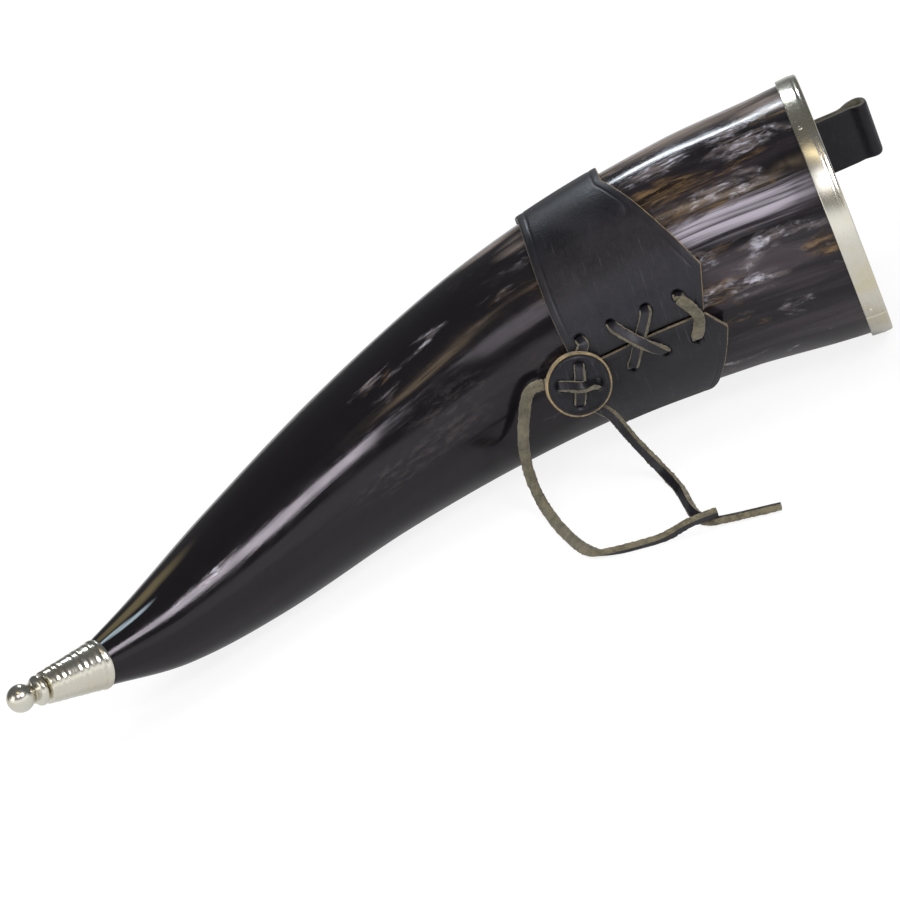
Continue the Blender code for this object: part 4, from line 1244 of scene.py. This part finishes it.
def makeStrap():
    line = strapLine()
    start, run, across, normal, _ = strapFrame()
    faces = unit(np.cross(np.gradient(line, axis=0), across))
    edge = np.array(strap["edgeColumns"])
    columns = np.concatenate([-edge[::-1], np.linspace(-0.9, 0.9, 19), edge]) * strap["width"] / 2
    # On the horn the strip follows its roundness; beyond it runs flat
    onWrap = ease(-(line - start) @ run, *strap["roundFade"])[:, None]
    bend = onWrap * columns**2 / (2 * (hornRadius(strap["roundPlace"])[0] + strap["roundLift"]))
    middle = line[:, None, :] + across * columns[:, None] - normal * bend[..., None]
    fromEdge = np.abs(columns) - strap["width"] / 2
    half = strap["leather"] / 2 + swell(fromEdge, *strap["wornEdge"])
    out = faces[:, None, :] * half[:, None]
    top, under = middle + out, middle - out
    ring = np.concatenate([top, under[:, ::-1], top[:, :1]], axis=1)
    width = len(columns)
    finishOf = np.zeros((len(ring) - 1, ring.shape[1] - 1), int)
    finishes = [strapLeather, strapEdge, fleshSide]
    finishOf[:, 1:width - 2] = 2
    for edgeFaces in (slice(0, 1), slice(width - 2, width + 1), slice(2 * width - 2, None)):
        finishOf[:, edgeFaces] = 1
    piece = gridMesh("beltStrap", toWorld(ring), finishes, finishOf=finishOf, crease=46)
    closeEnds(piece, 1, 46)
    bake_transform(piece)
    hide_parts("belt_loop", "belt_loop_tab_inner", "belt_loop_tab_outer")


def makeRivets():
    middle = backEdge + strap["tab"] / 2
    thick, wide, shank = strap["rivetThick"], strap["rivetHead"], strap["rivetRadius"]
    capStart = tabLift(1) + strap["leather"] / 2 - 0.1
    profile = [(capStart + thick * sin(t) ** 0.8, wide * cos(t)) for t in np.linspace(pi / 2, 0, 14)]
    profile += [(capStart - 0.2, wide * 0.95), (capStart - 0.3, shank)]
    profile += [(fit + thick + 0.1, shank), (fit + thick, wide), (fit + 0.1, wide), (fit + 0.1, 0)]
    for i, place in enumerate((-0.5, 0.5)):
        along = middle + place * strap["rivetSpacing"]
        base = onHorn(along, strap["angle"], 0)
        piece = turned(f"beltRivet{i + 1}", profile, base, outward(along, strap["angle"]), nickel, 48)
        dress(piece, "holder", "nickel", f"belt_rivet_{i + 1}")


makeStrap()
makeRivets()
print("drinking horn: lace, button and strap made")


# Plain pale floor and soft studio light

studio = {
    "floorSize": 5, "floorColour": (0.86, 0.86, 0.86, 1), "floorRoughness": 0.9, "floorGloss": 0.1,
    "floorGlow": 0.85, "floorInGloss": (0.55, 0.3),          # share of glow and its strength
    "skyLight": 0.55, "skyGlossy": 0.12,
    "paleSky": 1.1,                                          # low in front, as gloss shows it
    "paleSkyTop": (0.31, 0.4), "paleSkyBack": (-0.2, 0.2),   # where it fades upwards and backwards
    "lamps": (   # name, place, aim, width, length, watts, colour, shown in gloss, tilt in degrees
        ("stripFront", (-0.1, -1.1, 1.26), (0, 0, 0.03), 0.5, 0.5, 2.3, (0.97, 0.95, 1), True, 0),
        ("softRight", (0.72, -0.79, 1.18), (-0.1, -0.05, 0.03), 0.42, 0.5, 10, (0.97, 0.95, 1), True, 0),
        ("softTop", (-0.25, 0.1, 1.6), (0, 0, 0), 0.9, 0.9, 13, (1, 1, 1), False, 0),
        ("fillFront", (-0.3, -1.3, 0.9), (0, 0, 0.03), 0.8, 0.8, 8, (1, 0.98, 1), False, 0),
        ("fillLeft", (-1.4, -0.9, 0.9), (0, 0, 0.03), 0.8, 0.8, 4, (1, 0.99, 0.97), True, 0),
        ("stripBack", (-0.08, 1.2, 0.885), (0.1, 0.05, 0.04), 0.09, 0.33, 2.9, (0.84, 0.93, 1), True, -45),
        ("dullTop", (-0.035, -0.46, 1.4), (0.295, 0.044, 0.03), 0.12, 0.58, 0.8, (1, 0.82, 0.5), True, 0),
    ),
}


def makeFloor():
    mesh = bpy.data.meshes.new("floor")
    half = studio["floorSize"] / 2
    corners = [(-half, -half, 0), (half, -half, 0), (half, half, 0), (-half, half, 0)]
    mesh.from_pydata(corners, [], [(0, 1, 2, 3)])
    made, tree, shader = newFinish("paleFloor")
    feed(tree, shader, {
        "Base Color": studio["floorColour"], "Roughness": studio["floorRoughness"],
        "Specular IOR Level": studio["floorGloss"],
    })
    path = put(tree, "ShaderNodeLightPath")
    glossShare, glossGlow = studio["floorInGloss"]
    strength = math(tree, "MAXIMUM", path.outputs["Is Camera Ray"], glossGlow)
    glow = put(tree, "ShaderNodeEmission", {"Color": (1, 1, 1, 1), "Strength": strength})
    seen = times(tree, path.outputs["Is Camera Ray"], studio["floorGlow"])
    share = math(tree, "MAXIMUM", seen, times(tree, path.outputs["Is Glossy Ray"], glossShare))
    both = put(tree, "ShaderNodeMixShader", {0: share, 1: shader.outputs[0], 2: glow.outputs[0]})
    feed(tree, tree.nodes["Material Output"], {"Surface": both.outputs[0]})
    mesh.materials.append(made)
    floor = bpy.data.objects.new("floor", mesh)
    bpy.context.scene.collection.objects.link(floor)


def makeLamps():
    for name, place, aim, width, length, watts, colour, inGloss, tilt in studio["lamps"]:
        data = bpy.data.lights.new(name, "AREA")
        data.shape = "RECTANGLE"
        data.size = length
        data.size_y = width
        data.energy = watts
        data.color = colour
        lamp = bpy.data.objects.new(name, data)
        lamp.location = place
        lamp.visible_glossy = inGloss
        towards = Vector(aim) - Vector(place)
        facing = towards.to_track_quat("-Z", "Y") @ Quaternion((0, 0, 1), radians(tilt))
        lamp.rotation_euler = facing.to_euler()
        bpy.context.scene.collection.objects.link(lamp)


def makeSky():
    sky = bpy.data.worlds.new("studio")
    sky.use_nodes = True
    tree = sky.node_tree
    path = put(tree, "ShaderNodeLightPath")
    towards = put(tree, "ShaderNodeTexCoord").outputs["Generated"]
    _, back, height = put(tree, "ShaderNodeSeparateXYZ", {0: towards}).outputs
    low = between(tree, height, *studio["paleSkyTop"], 1.0, 0.0)
    pale = times(tree, low, between(tree, back, *studio["paleSkyBack"], 1.0, 0.0))
    dim, bright, light = ((studio[key],) * 3 + (1,) for key in ("skyGlossy", "paleSky", "skyLight"))
    strength = mixed(tree, path.outputs["Is Glossy Ray"], light, mixed(tree, pale, dim, bright))
    strength = mixed(tree, path.outputs["Is Camera Ray"], strength, (1, 1, 1, 1))
    feed(tree, tree.nodes["Background"], {"Color": strength, "Strength": 1})
    bpy.context.scene.world = sky


makeFloor()
makeLamps()
makeSky()
bpy.context.scene.view_settings.view_transform = "Standard"

bpy.context.view_layer.update()
print("drinking horn: studio lit")
